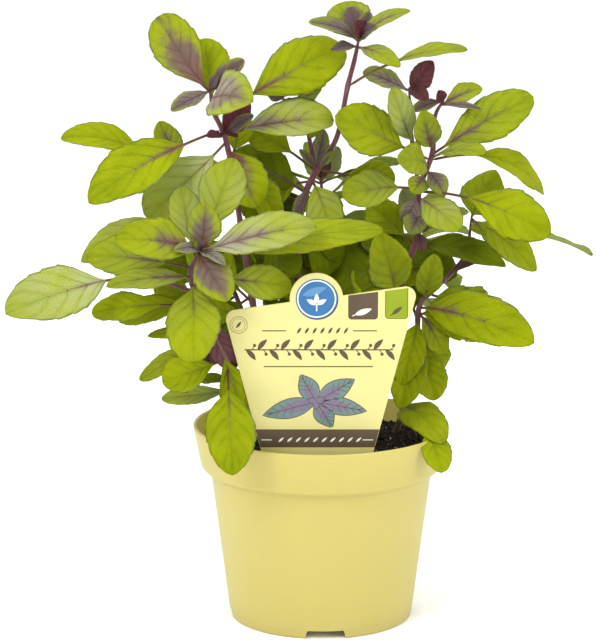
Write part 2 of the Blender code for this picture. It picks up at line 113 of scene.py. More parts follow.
# Stems
STEM_ROOT = 12.0
STEM_SIDES = 12
STEM_STEP = 2.4
NODE_SWELLING = 0.2
NODE_LENGTH = 2.4
STEM_SLIMNESS = 0.86
STEM_TAPER = 9.0
STEM_TIP_SHARE = 0.4
STEM_SQUARENESS = 0.07
STALK_RADIUS = 0.62
STALK_DEPTH = 0.4
SHORTEST_STALK = 0.6

# Leaf blades. What isn't a size in millimetres is a share of the blade.
LEAF_RINGS = 58
LEAF_AROUND = 25
STALK_SHARE = 0.16
BLADE_HALF_THICKNESS = 0.2
BASE_FULLNESS = 0.95
TEETH = 7.0
TOOTH = 0.06
VEINS = 5.0
VEIN_RISE = 0.36
VEIN_ARCH = 1.25
EDGE_WOBBLE = 0.03
BLADE_OPENS = 0.16
DROOP_FROM = 0.45
FULL_PUFF_WIDTH = 18
WELD = 0.002
LEAF_ROUTE_STEP = 11.0
# What chance picks for each leaf, drawn in this order
LEAF_CHANCE = {
    "Form": (0.95, 1.22), "Blunt": (0.48, 0.7), "Fold": (0.08, 0.28), "Cup": (-0.16, 0.12),
    "Wave": (0.03, 0.09), "Puff": (0.2, 0.38), "Sway": (-0.025, 0.025), "Droop": (0.0, 0.14),
}

# Studio: metres, degrees and watts
WORLD_STRENGTH = 1.05
FLOOR_HALF_SIDE = 9.0
# The place, aim, size and power of each light
LIGHTS = {
    "key": ((-0.7, -0.95, 1.2), (0, 0, 0.14), (0.6, 0.7), 14.0),
    "fill": ((1.0, -0.9, 0.6), (0, 0, 0.14), (1.0, 1.0), 8.0),
    "strip": ((-1.1, -0.1, 0.35), (0, 0, 0.05), (0.12, 0.8), 2.0),
    "top": ((0.1, 0.25, 1.35), (0, 0, 0.18), (1.2, 1.0), 7.0),
}
CAMERA_PLACE = (-0.0108, -1.261, 0.407)
CAMERA_DIP = 11.9
CAMERA_LENS = 167.4
CAMERA_SENSOR = 36.0
CAMERA_NEAR = 0.05
CAMERA_FAR = 60.0

# Colours, linear red, green and blue. Each leaf skin: the ground, the painted highlight, its
# deep tone, the flush, the blush by the stalk, the veins, and how far the flush spreads.
LEAF_SKINS = {
    "green": ((0.29, 0.34, 0.002), (0.375, 0.40, 0.01), (0.165, 0.215, 0.001),
              (0.145, 0.075, 0.085), (0.21, 0.05, 0.06), (0.10, 0.045, 0.04), 0.0),
    # Painted shade: a dark copy of the green skin for leaves deep in the foliage, where shade falls.
    "painted_shade": ((0.13, 0.165, 0.001), (0.165, 0.20, 0.001), (0.065, 0.09, 0.001),
            (0.10, 0.07, 0.06), (0.14, 0.045, 0.05), (0.06, 0.04, 0.02), 0.0),
    "purple": ((0.22, 0.25, 0.02), (0.27, 0.28, 0.08), (0.11, 0.11, 0.03),
               (0.125, 0.066, 0.096), (0.15, 0.035, 0.055), (0.035, 0.012, 0.022), 0.45),
    "maroon": ((0.13, 0.05, 0.035), (0.17, 0.06, 0.05), (0.07, 0.02, 0.025),
               (0.115, 0.022, 0.04), (0.13, 0.012, 0.03), (0.03, 0.005, 0.012), 0.9),
}
# Painted sheen: a whitish green and a silvery tone, laid where a leaf shows the light's reflection.
LEAF_SHEEN = (0.47, 0.50, 0.25)
LEAF_SILVER_SHEEN = (0.46, 0.44, 0.35)
LEAF_ROSE = (0.36, 0.22, 0.17)
LEAF_STALK = (0.17, 0.065, 0.06)
LEAF_UNDERSIDE = (0.26, 0.33, 0.085)
LEAF_LIT_THROUGH = (0.50, 0.58, 0.01)
STEM_WOOD = (0.065, 0.038, 0.022)
STEM_WINE = (0.095, 0.015, 0.028)
STEM_STRAW = (0.20, 0.15, 0.05)
STEM_STREAK = (0.33, 0.17, 0.19)
POT_CREAM = (0.61, 0.535, 0.165)
POT_SHADE = (0.57, 0.495, 0.145)
POT_FOOT_TONE = (0.52, 0.42, 0.16)
POT_LIT_THROUGH = (0.92, 0.84, 0.36)
# The dark and the light of each grain in the soil
SOIL_TONES = {
    "peat": ((0.007, 0.005, 0.004), (0.028, 0.018, 0.013)),
    "pale_speck": ((0.30, 0.27, 0.23), (0.5, 0.47, 0.42)),
    "wood_fibre": ((0.09, 0.05, 0.025), (0.2, 0.12, 0.06)),
}
# The fresh colour, the worn colour and the roughness of the card and of each ink
CARD_FINISH = ((0.58, 0.535, 0.215), (0.55, 0.505, 0.20), 0.42)
INKS = {
    "ink_brown": ((0.080, 0.054, 0.032), (0.093, 0.064, 0.040), 0.45),
    "ink_blue": ((0.030, 0.125, 0.29), (0.038, 0.15, 0.32), 0.35),
    "ink_light": ((0.66, 0.67, 0.58), (0.62, 0.63, 0.53), 0.4),
    "ink_lime": ((0.21, 0.275, 0.006), (0.19, 0.25, 0.006), 0.4),
    "ink_teal": ((0.115, 0.175, 0.165), (0.14, 0.20, 0.185), 0.45),
    "ink_violet": ((0.145, 0.12, 0.175), (0.17, 0.145, 0.20), 0.45),
    "ink_sky": ((0.085, 0.21, 0.38), (0.10, 0.245, 0.43), 0.35),
}
FLOOR_TONES = ((0.95, 0.95, 0.945), (0.97, 0.97, 0.965))

# Each stem with its side shoots: the radius at the foot and at the tip, then the places it
# passes. A rooted shoot's first place has no height, because it stands in the soil.
STEMS = {
    "left_stem": {
        "left": (2.0, 1.2, [(-20, 2), (-28, 2, 125), (-35, 0, 170), (-40, -2, 205),
                            (-44, -4, 227), (-49, -6, 239), (-51, -6, 250)]),
        "back_left": (1.4, 1.0, [(-28, 2, 125), (-40, 14, 150), (-54, 24, 180), (-66, 26, 207)]),
    },
    "front_stem": {
        "front": (1.9, 1.2, [(-22, -20), (-34, -36, 106), (-43, -46, 132), (-53, -46, 154),
                             (-59, -43, 171), (-54, -45, 183)]),
        "front_side": (1.1, 0.9, [(-56, -45, 163), (-70, -41, 167), (-84, -44, 171)]),
    },
    "tall_stem": {
        "tall": (2.1, 1.2, [(-4, 4), (-8, 8, 130), (-11, 8, 165), (-9, 7, 194), (-2, 7, 211),
                            (7, 5, 226), (12, 4, 250), (15, 3, 262), (17, 2, 272)]),
        "tall_side": (1.4, 1.1, [(-3, 7, 209), (-5, 9, 222), (-8, 13, 232), (-18, 16, 243)]),
    },
    "right_stem": {
        "right": (2.0, 1.1, [(16, 4), (24, 4, 110), (33, 5, 142), (40, 5, 166), (45, 4, 182),
                             (45, 4, 201), (51, 3, 219), (52, 2, 236), (56, 1, 244)]),
        "right_side": (1.2, 0.9, [(45, 4, 203), (42, 6, 222), (41, 5, 238), (40, 4, 249)]),
    },
    "outer_stem": {
        "outer": (1.9, 0.8, [(35, 12), (39, 8, 97), (43, 7, 112), (45, 6, 130), (46, 6, 147),
                             (54, 8, 155), (62, 10, 163), (68, 11, 172), (70, 12, 188)]),
    },
    "back_stem": {
        "back": (2.0, 1.2, [(2, 22), (6, 34, 125), (4, 42, 165), (0, 46, 200)]),
        "back_side": (1.4, 1.0, [(6, 33, 122), (24, 44, 140), (40, 48, 160), (46, 46, 180)]),
    },
}

# Each leaf: the shoot it grows on, the height of its joint there, its tip, the length of its
# stalk, the width of its blade, the way its upper side faces, how far it arches, its skin, and
# how purple it is and how much painted sheen it has, from 0 to 1.
LEAVES = {
    "leaf_left_top_1": ("left", 249, (-76, 6, 281), 3, 22, (0, -1, 0.3), 0.05, "green", 0.9, 0.1),
    "leaf_left_top_2": ("left", 241, (-54, 14, 271), 6, 20, (0, -1, 0.3), 0.05, "green", 0.1, 0.0),
    "leaf_left_top_3": ("left", 249, (-35, -14, 264), 1, 10, (0, -1, 0.6), 0.08, "purple", 0.9, 0.1),
    "leaf_left_top_4": ("left", 245, (-31, -27, 247), 1, 25, (0.2, -1, 0.45), 0.15, "green", 0.95, 0.8),
    "leaf_left_1": ("left", 231, (-105, -30, 201), 20, 27, (-0.2, -0.8, 0.6), 0.1, "green", 0.35, 0.0),
    "leaf_left_2": ("left", 225, (-79, -14, 190), 8, 27, (-0.15, -1, 0.45), 0.08, "green", 0.15, 0.85),
    "leaf_left_3": ("left", 222, (-29, -17, 197), 1, 22, (0, -1, 0.4), 0.05, "green", 0.8, 0.0),
    "leaf_left_4": ("back_left", 206, (-122, 20, 224), 22, 15, (0, -0.7, 0.7), 0.17, "green", 0.05, 0.0),
    "leaf_front_1": ("front", 180, (-39, -36, 223), 12, 21, (0, -1, 0.25), 0.04, "green", 0.15, 0.5),
    "leaf_front_2": ("front", 178, (-64, -30, 209), 8, 16, (0.1, -1, 0.3), 0.05, "green", 0.1, 0.6),
    "leaf_front_3": ("front", 183, (-51, -52, 205), 1, 16, (0, -1, 0.5), 0.05, "green", 0.85, 0.3),
    "leaf_front_4": ("front", 181, (-91, -62, 192), 4, 21, (-0.2, -1, 0.7), 0.06, "green", 0.6, 0.1),
    "leaf_front_5": ("front", 182, (-3, -66, 197), 4, 20, (0, -1, 0.8), 0.06, "green", 0.7, 1.0),
    "leaf_front_6": ("front", 179, (28, -50, 193), 15, 16, (0, -1, 0.7), 0.07, "green", 0.1, 0.1),
    "leaf_front_7": ("front", 181, (-42, -64, 163), 1, 18, (0, -1, 0.6), 0.08, "green", 0.98, 0.2),
    "leaf_front_8": ("front", 167, (-13, -40, 166), 17, 17, (0, -1, 0.5), 0.08, "green", 0.3, 0.2),
    "leaf_low_left_1": ("front_side", 171, (-136, -96, 166), 17, 27, (-0.3, -1, 0.5), 0.02,
                        "green", 0.3, 1.0),
    "leaf_low_left_2": ("front", 174, (-106, -36, 178), 12, 20, (-0.1, -0.9, 0.6), 0.09, "green", 0.3, 0.2),
    "leaf_low_left_3": ("back_left", 188, (-112, 0, 170), 22, 17, (-0.2, -0.9, 0.5), 0.1, "green", 0.1, 0.5),
    "leaf_low_left_4": ("front", 170, (-95, -66, 170), 2, 13, (-0.2, -0.8, 0.8), 0.06, "green", 0.5, 0.3),
    "leaf_low_left_5": ("front", 157, (-103, -50, 155), 18, 15, (-0.2, -0.8, 0.7), 0.08, "green", 0.2, 0.0),
    "leaf_low_left_6": ("front", 167, (-56, -66, 136), 2, 25, (-0.1, -1, 0.5), 0.12, "green", 0.15, 0.1),
    "leaf_low_left_7": ("front", 133, (-72, -44, 121), 5, 18, (-0.3, -1, 0.4), 0.08, "green", 0.0, 0.0),
    "leaf_low_left_8": ("front", 130, (-40, -66, 84), 12, 23, (0, -1, 0.35), 0.1, "green", 0.1, 0.0),
    "leaf_crown_1": ("tall", 271, (8, 14, 287), 1, 21, (0, -1, 0.35), 0.04, "green", 0.6, 0.3),
    "leaf_crown_2": ("tall", 271, (40, -6, 286), 1, 9, (-0.5, -0.7, 0.8), 0.1, "green", 0.6, 0.4),
    "leaf_crown_3": ("tall", 250, (66, -8, 269), 26, 12, (0, -0.45, 1), 0.08, "green", 0.3, 0.2),
    "leaf_centre_1": ("left", 238, (13, 14, 266), 18, 27, (0, -0.9, 0.5), 0.13, "green", 0.3, 0.0),
    "leaf_centre_2": ("left", 229, (6, -5, 236), 9, 20, (0, -0.8, 0.6), 0.08, "green", 0.7, 0.8),
    "leaf_right_top_1": ("right_side", 248, (19, 9, 256), 1, 10, (0, -0.8, 0.6), 0.05, "purple", 0.5, 0.6),
    "leaf_right_top_2": ("right_side", 224, (31, -19, 251), 2, 13, (0.2, -1, 0.1), 0.05, "green", 0.3, 1.1),
    "leaf_right_top_3": ("right", 219, (97, 2, 246), 6, 21, (0, -1, 0.4), 0.06, "green", 0.4, 0.1),
    "leaf_right_top_4": ("right", 216, (105, 22, 199), 19, 18, (0.1, -0.7, 0.8), 0.18, "green", 0.1, 0.0),
    "leaf_right_top_5": ("right", 216, (6, -11, 238), 15, 24, (0, -1, 0.5), 0.03, "green", 0.2, 0.05),
    "leaf_right_top_6": ("right", 213, (34, -20, 220), 3, 16, (0, -1, 0.4), 0.1, "green", 0.1, 0.2),
    "leaf_right_1": ("outer", 188, (80, 0, 212), 1, 20, (0, -1, 0.2), 0.05, "green", 0.1, 0.1),
    "leaf_right_2": ("right", 201, (105, -18, 186), 25, 24, (0.1, -1, 0.5), 0.14, "green", 0.2, 0.0),
    "leaf_right_3": ("outer", 185, (134.5, 80, 160), 28, 17, (0, -0.2, 1), 0.01, "green", 0.1, 0.0),
    "leaf_right_4": ("outer", 186, (100, -5, 166), 3, 16, (0.1, -0.9, 0.4), 0.12, "green", 0.1, 0.1),
    "leaf_right_5": ("right", 198, (62, -24, 188), 4, 17, (0, -1, 0.5), 0.1, "green", 0.5, 0.6),
    "leaf_right_6": ("right", 176, (85, -12, 170), 3, 16, (0, -0.6, 0.8), 0.06, "painted_shade", 0.2, 0.0),
    "leaf_low_right_1": ("outer", 146, (97, -26, 136), 3, 25, (0.1, -0.9, 0.5), 0.12, "green", 0.4, 0.0),
    "leaf_low_right_2": ("outer", 152, (78, 6, 132), 5, 29, (0.2, -0.8, 0.6), 0.28, "green", 0.1, 0.0),
    "leaf_low_right_3": ("right", 150, (26, -22, 187), 8, 21, (0, -1, 0.3), 0.05, "green", 0.2, 0.1),
    "leaf_low_right_4": ("outer", 128, (53, -6, 104), 3, 17, (0.2, -1, 0.3), 0.12, "green", 0.0, 0.0),
    "leaf_low_right_5": ("outer", 97, (55, -38, 92.5), 2, 18, (0.1, -1, 0.45), 0.15, "green", 0.35, 0.05),
    "leaf_back_1": ("back", 198, (-53, 94, 182), 8, 24, (-0.2, 0.7, 0.8), 0.12, "green", 0.1, 0.1),
    "leaf_back_2": ("back", 150, (-36, 97, 146), 8, 26, (-0.2, 0.7, 0.8), 0.15, "green", 0.0, 0.0),
    "leaf_back_3": ("back", 160, (14, 97, 150), 6, 25, (0, 0.7, 0.8), 0.15, "green", 0.1, 0.0),
    "leaf_back_4": ("back_side", 162, (60, 92, 155), 6, 25, (0.2, 0.7, 0.8), 0.15, "green", 0.0, 0.1),
    "leaf_back_5": ("back", 198, (29, 84, 187), 6, 22, (0.2, 0.7, 0.8), 0.12, "green", 0.3, 0.1),
}

# Young and small leaves, gathered in one piece for each part of the plant. A row is as above.
YOUNG = {
    "young_leaves_left": [
        ("left", 249, (-68, -16, 241), 1, 9, (-0.1, -0.8, 0.7), 0.06, "purple", 0.8, 0.5),
        ("left", 250, (-47, -12, 257), 0, 5, (0, -1, 0.5), 0.1, "purple", 0.9, 0.1),
        ("left", 230, (-33, -14, 246), 1, 12, (0.2, -1, 0.2), 0.08, "maroon", 1.0, 0.0),
        ("left", 229, (-31, -16, 239), 2, 7, (0.2, -0.9, 0.5), 0.08, "purple", 0.9, 0.2),
        ("left", 229, (-52, -14, 229), 1, 6, (0, -0.8, 0.7), 0.08, "maroon", 1.0, 0.1),
        ("left", 230, (-38, -14, 229), 1, 4, (0, -0.8, 0.7), 0.1, "maroon", 1.0, 0.1),
        ("back_left", 200, (-75, 18, 232), 14, 13, (0, -1, 0.2), 0.05, "green", 0.7, 0.2),
        ("back_left", 200, (-47, 14, 212), 6, 15, (0.1, -1, 0.5), 0.08, "green", 0.2, 0.0),
        ("left", 210, (-18, 2, 190), 4, 16, (0.2, -1, 0.4), 0.08, "green", 0.2, 0.0),
        ("left", 214, (-22, 18, 185), 6, 22, (0, -1, 0.3), 0.06, "green", 0.1, 0.0),
        ("left", 216, (-36, 14, 236), 6, 14, (0, -1, 0.4), 0.06, "green", 0.1, 0.0),
        ("left", 150, (-62, 0, 178), 8, 20, (0, -1, 0.4), 0.06, "green", 0.1, 0.0),
        ("left", 140, (-64, 6, 152), 8, 18, (-0.2, -1, 0.4), 0.08, "green", 0.0, 0.0),
        ("left", 160, (-10, 8, 172), 6, 20, (0.2, -1, 0.4), 0.08, "painted_shade", 0.1, 0.0),
    ],
    "young_leaves_front": [
        ("front", 182, (-66, -58, 185), 0, 7, (0, -0.9, 0.8), 0.1, "purple", 0.7, 0.9),
        ("front", 182, (-43, -59, 178), 0, 7, (0.3, -0.9, 0.8), 0.1, "purple", 0.6, 1.0),
        ("front", 183, (-55, -55, 190), 0, 4, (0, -1, 0.4), 0.1, "purple", 0.9, 0.2),
        ("front", 183, (-50, -54, 186), 0, 3, (0.3, -1, 0.4), 0.1, "maroon", 0.9, 0.2),
        ("front", 160, (-92, -36, 148), 4, 14, (-0.2, -0.8, 0.6), 0.08, "green", 0.1, 0.0),
        ("front", 141, (-84, -31, 121), 8, 9, (-0.3, -1, 0.3), 0.05, "green", 0.1, 0.2),
        ("front", 143, (-79, -38, 142), 4, 7, (-0.1, -0.7, 0.8), 0.08, "green", 0.1, 0.1),
        ("front", 118, (-73, -36, 112), 4, 9, (-0.1, -1, 0.3), 0.08, "green", 0.0, 0.6),
        ("front", 122, (-56, -38, 121), 2, 6, (0, -0.8, 0.8), 0.1, "green", 0.1, 0.1),
        ("front", 150, (-51, -34, 128), 2, 11, (0, -1, 0.3), 0.08, "maroon", 0.9, 0.3),
        ("front", 152, (-40, -44, 127), 2, 13, (0.2, -1, 0.3), 0.08, "maroon", 0.9, 0.2),
        ("front", 137, (-35, -40, 99), 4, 16, (0.2, -1, 0.3), 0.08, "green", 0.0, 0.0),
        ("front", 158, (-76, -30, 164), 4, 14, (-0.1, -1, 0.5), 0.08, "green", 0.1, 0.0),
    ],
    "young_leaves_crown": [
        ("tall", 271, (-6, -8, 281), 1, 9, (0, -0.7, 0.8), 0.08, "purple", 0.7, 0.4),
        ("tall", 272, (15, -9, 281), 0, 10, (0, -0.9, 0.6), 0.1, "maroon", 1.0, 0.1),
        ("tall", 272, (24, -7, 279), 0, 8, (0.2, -0.9, 0.6), 0.1, "purple", 0.9, 0.3),
        ("tall", 272, (13, 9, 286), 0, 10, (0, -1, 0.3), 0.05, "purple", 0.9, 0.1),
        ("tall", 272, (22, 4, 284), 0, 7, (0, -1, 0.4), 0.06, "purple", 0.9, 0.1),
        ("tall", 268, (35, -17, 261), 3, 10, (0.1, -0.8, 0.7), 0.1, "green", 0.3, 0.3),
        ("tall", 268, (4, -6, 268), 1, 6, (0, -0.8, 0.7), 0.1, "purple", 0.9, 0.2),
        ("tall_side", 242, (-26, 8, 248), 1, 8, (0, -0.9, 0.5), 0.08, "purple", 0.8, 0.3),
        ("tall_side", 243, (-14, 8, 252), 1, 6, (0, -0.9, 0.5), 0.08, "maroon", 0.9, 0.2),
        ("tall_side", 234, (0, 14, 228), 2, 14, (0.2, -0.9, 0.5), 0.08, "green", 0.3, 0.1),
        ("tall_side", 238, (0, 4, 249), 2, 11, (0.1, -0.8, 0.7), 0.05, "green", 0.5, 1.0),
    ],
    "young_leaves_centre": [
        ("tall", 211, (-10, 3, 221), 1, 4, (0, -1, 0.3), 0.05, "purple", 0.7, 0.2),
        ("tall", 211, (1, 14, 229), 1, 8, (0.2, -1, 0.2), 0.05, "purple", 0.6, 0.9),
        ("tall", 212, (6, 2, 220), 1, 4, (0.1, -1, 0.3), 0.05, "purple", 0.5, 0.4),
        ("tall", 204, (-12, 2, 189), 2, 7, (0, -1, 0.4), 0.05, "purple", 0.8, 0.3),
        ("tall", 206, (6, -2, 180), 3, 18, (0, -1, 0.2), 0.08, "green", 0.3, 0.4),
        ("right", 202, (9, -5, 202), 10, 19, (0, -1, 0.6), 0.06, "green", 0.2, 0.2),
        ("tall", 211, (35, 14, 204), 14, 16, (0, -1, 0.4), 0.1, "green", 0.1, 0.0),
        ("right", 192, (41, -8, 183), 2, 12, (0.1, -1, 0.4), 0.1, "purple", 0.5, 0.3),
        ("tall", 210, (-34, 12, 230), 14, 16, (0, -1, 0.5), 0.08, "green", 0.0, 0.0),
        ("tall", 205, (-30, 20, 196), 6, 18, (-0.1, -1, 0.4), 0.08, "green", 0.0, 0.0),
        ("tall", 178, (10, 12, 166), 4, 24, (0.1, -1, 0.3), 0.08, "painted_shade", 0.1, 0.0),
    ],
    # Leaves deep in the foliage, in a dark skin that is painted shade.
    "deep_leaves": [
        ("tall", 200, (-42, 22, 216), 6, 23, (0.2, -1, 0.3), 0.06, "painted_shade", 0.3, 0.0),
        ("tall", 199, (-22, 24, 187), 3, 15, (-0.2, -1, 0.3), 0.06, "painted_shade", 0.2, 0.0),
        ("tall", 196, (-36, 26, 196), 6, 22, (0, -1, 0.3), 0.06, "painted_shade", 0.0, 0.0),
        ("tall", 188, (-34, 22, 174), 6, 26, (-0.1, -1, 0.4), 0.08, "painted_shade", 0.2, 0.0),
        ("tall", 186, (12, 24, 172), 6, 24, (0.2, -1, 0.4), 0.08, "painted_shade", 0.1, 0.0),
        ("tall", 172, (-32, 18, 154), 6, 25, (-0.1, -1, 0.4), 0.08, "painted_shade", 0.0, 0.0),
        ("tall", 166, (4, 26, 152), 6, 26, (0.1, -1, 0.4), 0.08, "painted_shade", 0.1, 0.0),
        ("tall", 150, (-24, 16, 136), 6, 24, (-0.1, -1, 0.4), 0.08, "painted_shade", 0.0, 0.0),
        ("left", 186, (-42, 16, 154), 4, 21, (0, -1, 0.3), 0.08, "painted_shade", 0.2, 0.0),
        ("left", 176, (-12, 14, 184), 6, 18, (0, -1, 0.3), 0.08, "painted_shade", 0.2, 0.0),
        ("left", 152, (-54, 6, 134), 5, 19, (-0.2, -1, 0.3), 0.08, "painted_shade", 0.0, 0.0),
        ("left", 140, (-16, 8, 124), 5, 20, (0, -1, 0.3), 0.08, "painted_shade", 0.0, 0.0),
        ("right", 160, (-8, 26, 160), 5, 29, (-0.1, -1, 0.3), 0.08, "painted_shade", 0.0, 0.0),
        ("left", 160, (8, 24, 155), 5, 29, (0.1, -1, 0.3), 0.08, "painted_shade", 0.1, 0.0),
        ("left", 140, (-4, 14, 140), 5, 24, (0.1, -1, 0.3), 0.08, "painted_shade", 0.0, 0.0),
        ("right", 172, (14, 24, 160), 5, 24, (-0.1, -1, 0.4), 0.08, "painted_shade", 0.1, 0.0),
        ("right", 166, (22, 20, 186), 5, 22, (0, -1, 0.3), 0.08, "painted_shade", 0.1, 0.0),
        ("right", 160, (50, 26, 176), 5, 22, (0.1, -1, 0.3), 0.08, "painted_shade", 0.1, 0.0),
        ("right", 142, (12, 20, 128), 5, 24, (-0.1, -1, 0.4), 0.08, "painted_shade", 0.0, 0.0),
        ("right", 128, (30, 14, 108), 5, 20, (0, -1, 0.4), 0.08, "painted_shade", 0.0, 0.0),
        ("outer", 140, (40, 24, 158), 5, 20, (0, -1, 0.3), 0.08, "painted_shade", 0.1, 0.0),
        ("outer", 150, (58, 22, 170), 5, 18, (0.2, -1, 0.3), 0.08, "painted_shade", 0.1, 0.0),
        ("back_left", 176, (-66, 22, 190), 4, 22, (-0.1, -1, 0.4), 0.08, "painted_shade", 0.0, 0.0),
        ("back_left", 168, (-78, 18, 160), 8, 22, (-0.2, -1, 0.4), 0.08, "painted_shade", 0.0, 0.0),
        ("back_left", 150, (-60, 22, 130), 6, 20, (-0.2, -1, 0.4), 0.08, "painted_shade", 0.0, 0.0),
    ],
    "young_leaves_right": [
        ("right_side", 248, (51, -3, 262), 1, 11, (0.1, -1, 0.3), 0.05, "maroon", 1.0, 0.1),
        ("right_side", 249, (48, -8, 245), 1, 8, (0.2, -0.9, 0.5), 0.08, "maroon", 1.0, 0.2),
        ("right", 242, (74, 5, 249), 1, 10, (0, -0.8, 0.7), 0.1, "green", 0.6, 0.2),
        ("right", 243, (53, -4, 249), 0, 6, (0, -1, 0.4), 0.05, "maroon", 1.0, 0.1),
        ("right", 242, (73, -7, 241), 1, 4, (0, -0.8, 0.8), 0.05, "purple", 0.8, 0.4),
        ("right", 243, (41, -4, 240), 1, 6, (-0.1, -0.9, 0.5), 0.08, "purple", 0.8, 0.3),
        ("right", 221, (45, -15, 241), 2, 13, (0, -1, 0.2), 0.05, "green", 0.55, 0.2),
        ("right", 217, (74, -20, 223), 3, 11, (0.1, -0.7, 0.8), 0.08, "green", 0.3, 0.3),
        ("right", 209, (42, -2, 201), 1, 10, (0, -1, 0.4), 0.08, "green", 0.7, 0.3),
        ("right", 211, (57, -5, 201), 1, 10, (0.2, -1, 0.4), 0.08, "purple", 0.6, 0.3),
        ("right", 199, (38, 0, 187), 2, 10, (0, -1, 0.4), 0.08, "purple", 0.7, 0.4),
        ("outer", 187, (75, 2, 181), 3, 8, (0.1, -0.8, 0.7), 0.1, "green", 0.5, 0.2),
        ("right", 183, (38, -6, 187), 0, 6, (0, -1, 0.5), 0.08, "purple", 0.8, 0.3),
        ("right", 183, (52, -6, 187), 0, 6, (0.2, -1, 0.5), 0.08, "purple", 0.8, 0.3),
        ("right", 182, (46, -7, 175), 0, 6, (0.1, -1, 0.5), 0.08, "maroon", 0.8, 0.3),
        ("outer", 161, (77, 4, 171), 2, 4, (0.1, -0.8, 0.7), 0.08, "maroon", 0.8, 0.3),
        ("outer", 143, (58, -4, 126), 2, 13, (0.1, -1, 0.3), 0.1, "green", 0.5, 0.1),
        ("outer", 150, (51, -14, 175), 2, 13, (0, -1, 0.3), 0.06, "green", 0.1, 0.1),
        ("outer", 132, (36, -14, 102), 3, 18, (0, -1, 0.3), 0.1, "green", 0.1, 0.0),
        ("outer", 134, (57, 12, 114), 2, 18, (0.1, -1, 0.3), 0.1, "green", 0.0, 0.0),
        ("outer", 143, (84, -4, 144), 2, 26, (0.1, -1, 0.4), 0.1, "green", 0.1, 0.0),
        ("outer", 140, (37, -12, 113), 2, 15, (0, -1, 0.3), 0.08, "green", 0.1, 0.0),
        ("outer", 99, (54, -45, 80), 37, 14, (0.2, -1, 0.3), 0.165, "green", 0.0, 0.0),
        ("right", 150, (44, 22, 172), 4, 20, (0.1, -1, 0.3), 0.08, "green", 0.1, 0.0),
        ("right", 140, (20, 16, 168), 4, 22, (0, -1, 0.3), 0.08, "green", 0.1, 0.0),
        ("right", 176, (22, 22, 192), 6, 18, (0, -1, 0.4), 0.08, "green", 0.1, 0.0),
    ],
    "young_leaves_back": [
        ("back", 199, (-8, 58, 216), 1, 12, (0, 0.8, 0.5), 0.06, "green", 0.6, 0.2),
        ("back", 199, (9, 56, 214), 1, 11, (0.2, 0.8, 0.5), 0.06, "purple", 0.7, 0.2),
        ("back", 200, (1, 40, 214), 1, 9, (0, -0.9, 0.5), 0.06, "maroon", 0.9, 0.2),
        ("back", 178, (34, 62, 172), 4, 18, (0.3, 0.7, 0.7), 0.1, "green", 0.1, 0.0),
        ("back", 178, (-30, 58, 170), 4, 18, (-0.3, 0.7, 0.7), 0.1, "green", 0.1, 0.0),
        ("back", 150, (34, 50, 134), 4, 20, (0.2, -0.3, 0.9), 0.12, "green", 0.0, 0.0),
        ("back", 128, (-34, 46, 122), 4, 22, (-0.2, 0.5, 0.8), 0.12, "green", 0.0, 0.0),
        ("back_side", 179, (60, 52, 192), 2, 13, (0.3, 0.6, 0.7), 0.06, "green", 0.6, 0.2),
        ("back_side", 179, (40, 58, 194), 2, 11, (-0.2, 0.7, 0.6), 0.06, "purple", 0.8, 0.2),
        ("back_side", 150, (58, 40, 134), 4, 18, (0.4, 0.2, 0.8), 0.12, "green", 0.1, 0.0),
        ("back", 118, (34, 56, 110), 5, 22, (0.3, 0.6, 0.8), 0.12, "green", 0.0, 0.0),
        ("back", 112, (-24, 58, 106), 5, 20, (-0.3, 0.6, 0.8), 0.12, "green", 0.0, 0.0),
        ("back", 140, (20, 78, 134), 6, 24, (0.1, 0.7, 0.8), 0.14, "green", 0.1, 0.0),
        ("back", 189, (-40, 62, 200), 8, 20, (-0.2, 0.6, 0.8), 0.1, "green", 0.2, 0.1),
        ("back", 189, (38, 70, 204), 8, 20, (0.2, 0.6, 0.8), 0.1, "green", 0.2, 0.1),
        ("back_side", 140, (62, 66, 128), 5, 22, (0.5, 0.5, 0.8), 0.12, "green", 0.0, 0.0),
        ("back_side", 168, (72, 60, 172), 5, 20, (0.5, 0.4, 0.8), 0.1, "green", 0.1, 0.0),
        ("back_left", 180, (-70, 58, 176), 6, 22, (-0.2, 0.6, 0.8), 0.12, "green", 0.1, 0.0),
        ("back_left", 160, (-30, 54, 152), 6, 20, (0.1, 0.6, 0.8), 0.12, "green", 0.0, 0.0),
        ("tall", 190, (20, 42, 192), 6, 19, (0.1, 0.6, 0.8), 0.1, "green", 0.2, 0.0),
        ("right", 190, (66, 38, 184), 6, 20, (0.4, 0.5, 0.8), 0.1, "green", 0.2, 0.0),
        ("right", 160, (64, 40, 148), 6, 21, (0.4, 0.5, 0.8), 0.12, "green", 0.1, 0.0),
        ("outer", 120, (56, 46, 112), 5, 20, (0.3, 0.4, 0.8), 0.12, "green", 0.0, 0.0),
        ("left", 200, (-60, 40, 204), 8, 20, (-0.3, 0.6, 0.8), 0.1, "green", 0.2, 0.0),
        ("left", 140, (-50, 40, 130), 6, 20, (-0.3, 0.6, 0.8), 0.12, "green", 0.0, 0.0),
    ],
}


# ---- Arithmetic that builds nodes ----

def feed(tree, value, socket):
    """Links a term to a socket, or sets the socket's own value."""
    if isinstance(value, Term):
        tree.links.new(value.socket, socket)
    else:
        socket.default_value = value


def link_node(tree, kind, inputs, settings=None, output=0):
    """A node with its settings and inputs given by name or number; its result as a term."""
    made = tree.nodes.new(kind)
    for key, value in (settings or {}).items():
        setattr(made, key, value)
    for key, value in inputs.items():
        feed(tree, value, made.inputs[key])
    return Term(tree, made.outputs[output])


